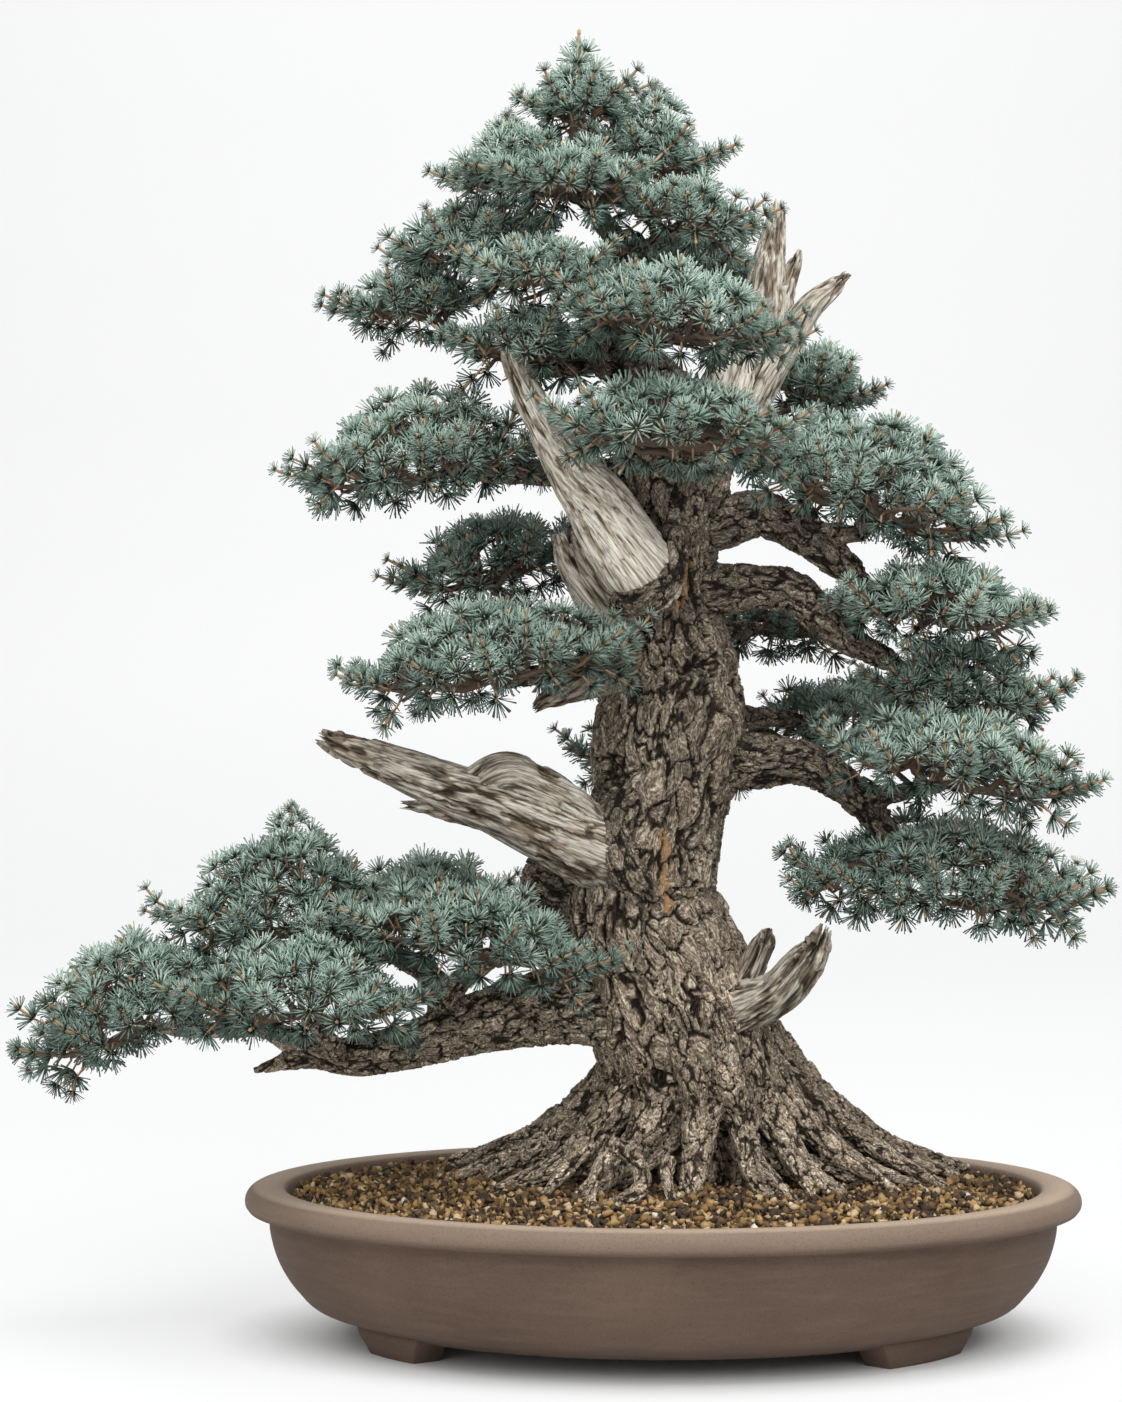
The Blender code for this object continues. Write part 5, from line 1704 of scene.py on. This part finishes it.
def foot(start, end):
    """One foot of the pot between two bearings: a low curved bracket whose ends slope in."""
    shape = bmesh.new()
    top = FOOT_HEIGHT + FOOT_LAP
    section = [
        (FOOT_INNER, top), (FOOT_OUTER - 0.0005, top), (FOOT_OUTER - 0.001, FOOT_HEIGHT - 0.001),
        (FOOT_OUTER - FOOT_TAPER, 0.0), (FOOT_INNER, 0.0),
    ]
    corners = [shape.verts.new((radius, 0.0, height)) for radius, height in section]
    face = shape.faces.new(corners)
    bmesh.ops.spin(
        shape, geom=[face], cent=(0, 0, 0), axis=(0, 0, 1), angle=end - start, steps=FOOT_STEPS,
        use_duplicate=False,
    )
    bmesh.ops.rotate(shape, matrix=Matrix.Rotation(start, 3, "Z"), verts=shape.verts)
    middle = (start + end) / 2
    for vertex in shape.verts:
        bearing = math.atan2(vertex.co.y, vertex.co.x) % math.tau
        low = 1.0 - vertex.co.z / top
        shift = (middle - bearing) / (0.5 * (end - start)) * low * FOOT_SLOPE / FOOT_OUTER
        vertex.co = Matrix.Rotation(shift, 3, "Z") @ vertex.co
    bmesh.ops.recalc_face_normals(shape, faces=shape.faces)
    sharp = [edge for edge in shape.edges if not edge.is_boundary and edge.calc_face_angle(0.0) > 0.6]
    bmesh.ops.bevel(
        shape, geom=sharp, offset=FOOT_ROUND, offset_type="OFFSET", segments=2, profile=0.5,
        affect="EDGES", material=-1,
    )
    made_oval(shape)
    return shape


def foot_bearings():
    """Where each foot starts and ends, from the gaps that the solid's feet leave."""
    middle = 0.5 * (FOOT_INNER + FOOT_OUTER)
    left, right = (math.acos(reach / middle) for reach in FOOT_ENDS)
    side = math.asin(FOOT_SIDE / OVAL / middle)
    return [
        (side, right), (left, math.pi - side), (math.pi + side, math.tau - left),
        (math.tau - right, math.tau - side),
    ]


def build_pot(finish):
    """The pot with its drain holes cut through, and its four feet."""
    pot = spun(pot_profile(), "clay_pot")
    drains = bmesh.new()
    for side in (-1, 1):
        made = bmesh.ops.create_cone(
            drains, cap_ends=True, segments=DRAIN_SIDES, radius1=DRAIN_RADIUS, radius2=DRAIN_RADIUS,
            depth=DRAIN_CUT,
        )["verts"]
        bmesh.ops.translate(drains, vec=(POT_X + side * DRAIN_OFFSET, 0.0, FLOOR_TOP), verts=made)
    cutter = from_bmesh("drains", drains)
    cut = pot.modifiers.new("drains", "BOOLEAN")
    cut.operation = "DIFFERENCE"
    cut.solver = "MANIFOLD"
    cut.object = cutter
    baked(pot)
    bpy.data.objects.remove(cutter)
    pot.data.materials.clear()
    pot.data.shade_smooth()
    pot.data.set_sharp_from_angle(angle=math.radians(38))
    dressed(pot, "clay", finish)
    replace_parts(pot, "pot")
    for number, (start, end) in enumerate(foot_bearings(), 1):
        piece = from_bmesh(f"pot_foot_{number}", foot(start, end))
        piece.data.shade_smooth()
        piece.data.set_sharp_from_angle(angle=math.radians(50))
        dressed(piece, "clay", finish)
        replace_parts(piece, "pot")


# Stage, lights and camera


def stage_paper():
    """White paper that is lit evenly away from the pot, where its own glow takes over from the light:
    painted light that lifts the pot's shadow there, while near the pot it does not glow.
    """
    paper = Finish("white_paper", (0.83, 0.835, 0.835), 0.95, 0.1)
    height = paper.height()
    from_pot = paper.apart(paper.places((1.0, 1.0 / OVAL, 0.0)), (POT_X, 0.0, 0.0))
    away = paper.ramp(from_pot, [(0.205, 0.0), (0.30, 1.0)])
    wall = [(0.45, (0.79, 0.793, 0.793)), (1.0, (0.77, 0.773, 0.773))]
    near = paper.ramp(height, [(0.0, (0.71, 0.713, 0.713)), *wall])
    far = paper.ramp(height, [(0.0, (0.25, 0.253, 0.253)), *wall])
    paper.paint(paper.mix(away, near, far))
    edge = paper.share(paper.apart(paper.places(), STAGE_MIDDLE), *GLOW_RING)
    level = paper.mix(edge, (0.612, 0.614, 0.614), (0.86, 0.86, 0.86))
    glow = paper.mix(paper.ramp(height, [(0.0, 0.0), (0.45, 1.0)]), level, BLACK)
    paper.tree.links.new(paper.mix(away, BLACK, glow), paper.shader.inputs["Emission Color"])
    paper.shader.inputs["Emission Strength"].default_value = 1.0
    return paper.material


def build_stage():
    """A pale floor that curves up into a wall far behind, so that no horizon shows."""
    profile = [(STAGE_FRONT, 0.0), (STAGE_BEND, 0.0)]
    profile += arc((STAGE_BEND, STAGE_CURVE), STAGE_CURVE, -80, 0, 8)
    profile += [(STAGE_BEND + STAGE_CURVE, STAGE_HEIGHT)]
    shape, _, edges = linked([(-STAGE_WIDTH / 2, y, z) for y, z in profile])
    made = bmesh.ops.extrude_edge_only(shape, edges=edges)["geom"]
    bmesh.ops.translate(shape, vec=(STAGE_WIDTH, 0, 0), verts=only(bmesh.types.BMVert, made))
    bmesh.ops.recalc_face_normals(shape, faces=shape.faces)
    floor = from_bmesh("floor", shape)
    floor.data.materials.append(stage_paper())
    floor.data.shade_smooth()


def area_light(name, place, aim, size, power):
    """A soft rectangular lamp."""
    light = bpy.data.lights.new(name, "AREA")
    light.shape = "RECTANGLE"
    light.size, light.size_y = size
    light.energy = power
    lamp = new_object(name, light)
    lamp.location = place
    lamp.rotation_euler = (Vector(aim) - Vector(place)).to_track_quat("-Z", "Y").to_euler()


def build_lights():
    """Soft light from above and both sides of the front, one lamp for the wall, and a white room."""
    for row in LIGHTS:
        area_light(*row)
    world = bpy.data.worlds.new("studio")
    world.use_nodes = True
    nodes = world.node_tree.nodes
    back = nodes["Background"]
    back.inputs["Color"].default_value = (1.0, 1.0, 1.0, 1.0)
    paths = nodes.new("ShaderNodeLightPath")
    shown = nodes.new("ShaderNodeMapRange")
    shown.inputs["To Min"].default_value = ROOM_LIGHT
    shown.inputs["To Max"].default_value = ROOM_SHOWN
    world.node_tree.links.new(paths.outputs["Is Camera Ray"], shown.inputs["Value"])
    world.node_tree.links.new(shown.outputs["Result"], back.inputs["Strength"])
    bpy.context.scene.world = world
    bpy.context.scene.view_settings.view_transform = "Standard"


def build_camera():
    """A level camera whose picture is as tall as the photo's at the trunk."""
    camera = bpy.data.cameras.new("camera")
    camera.sensor_width = SENSOR
    camera.lens = SENSOR * abs(EYE[1]) / (PICTURE_HEIGHT * PIXEL)
    holder = new_object("camera", camera)
    holder.location = EYE
    holder.rotation_euler = (math.radians(90), 0.0, 0.0)
    bpy.context.scene.camera = holder


def numbered(name, colours, roughness):
    """A plain finish for each colour of a list."""
    return [plain_finish(f"{name}_{i}", colour, roughness) for i, colour in enumerate(colours, 1)]


def main():
    finishes = {
        "needles": numbered("needles", NEEDLE_COLOURS, 0.55),
        "twigs": [
            plain_finish("twig_bark", (0.105, 0.072, 0.050), 0.9),
            plain_finish("young_shoot", (0.300, 0.195, 0.110), 0.8),
        ],
        "buds": [
            plain_finish("bud_tan", (0.400, 0.270, 0.150), 0.7),
            plain_finish("bud_brown", (0.240, 0.145, 0.080), 0.7),
        ],
        "bed": soil_bed_finish(),
        "grains": numbered("grain", GRAIN_COLOURS, 0.95),
    }
    live, roots, bare = limb_list()
    build_stage()
    build_lights()
    build_camera()
    build_pot(clay_finish())
    build_soil(finishes)
    reach = Reach(live + [stations for _, stations in bare])
    heavy = build_foliage(reach, finishes)
    build_bark(live, roots, heavy, bark_finish())
    build_bare_wood(bare, bare_wood_finish())
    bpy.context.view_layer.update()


main()
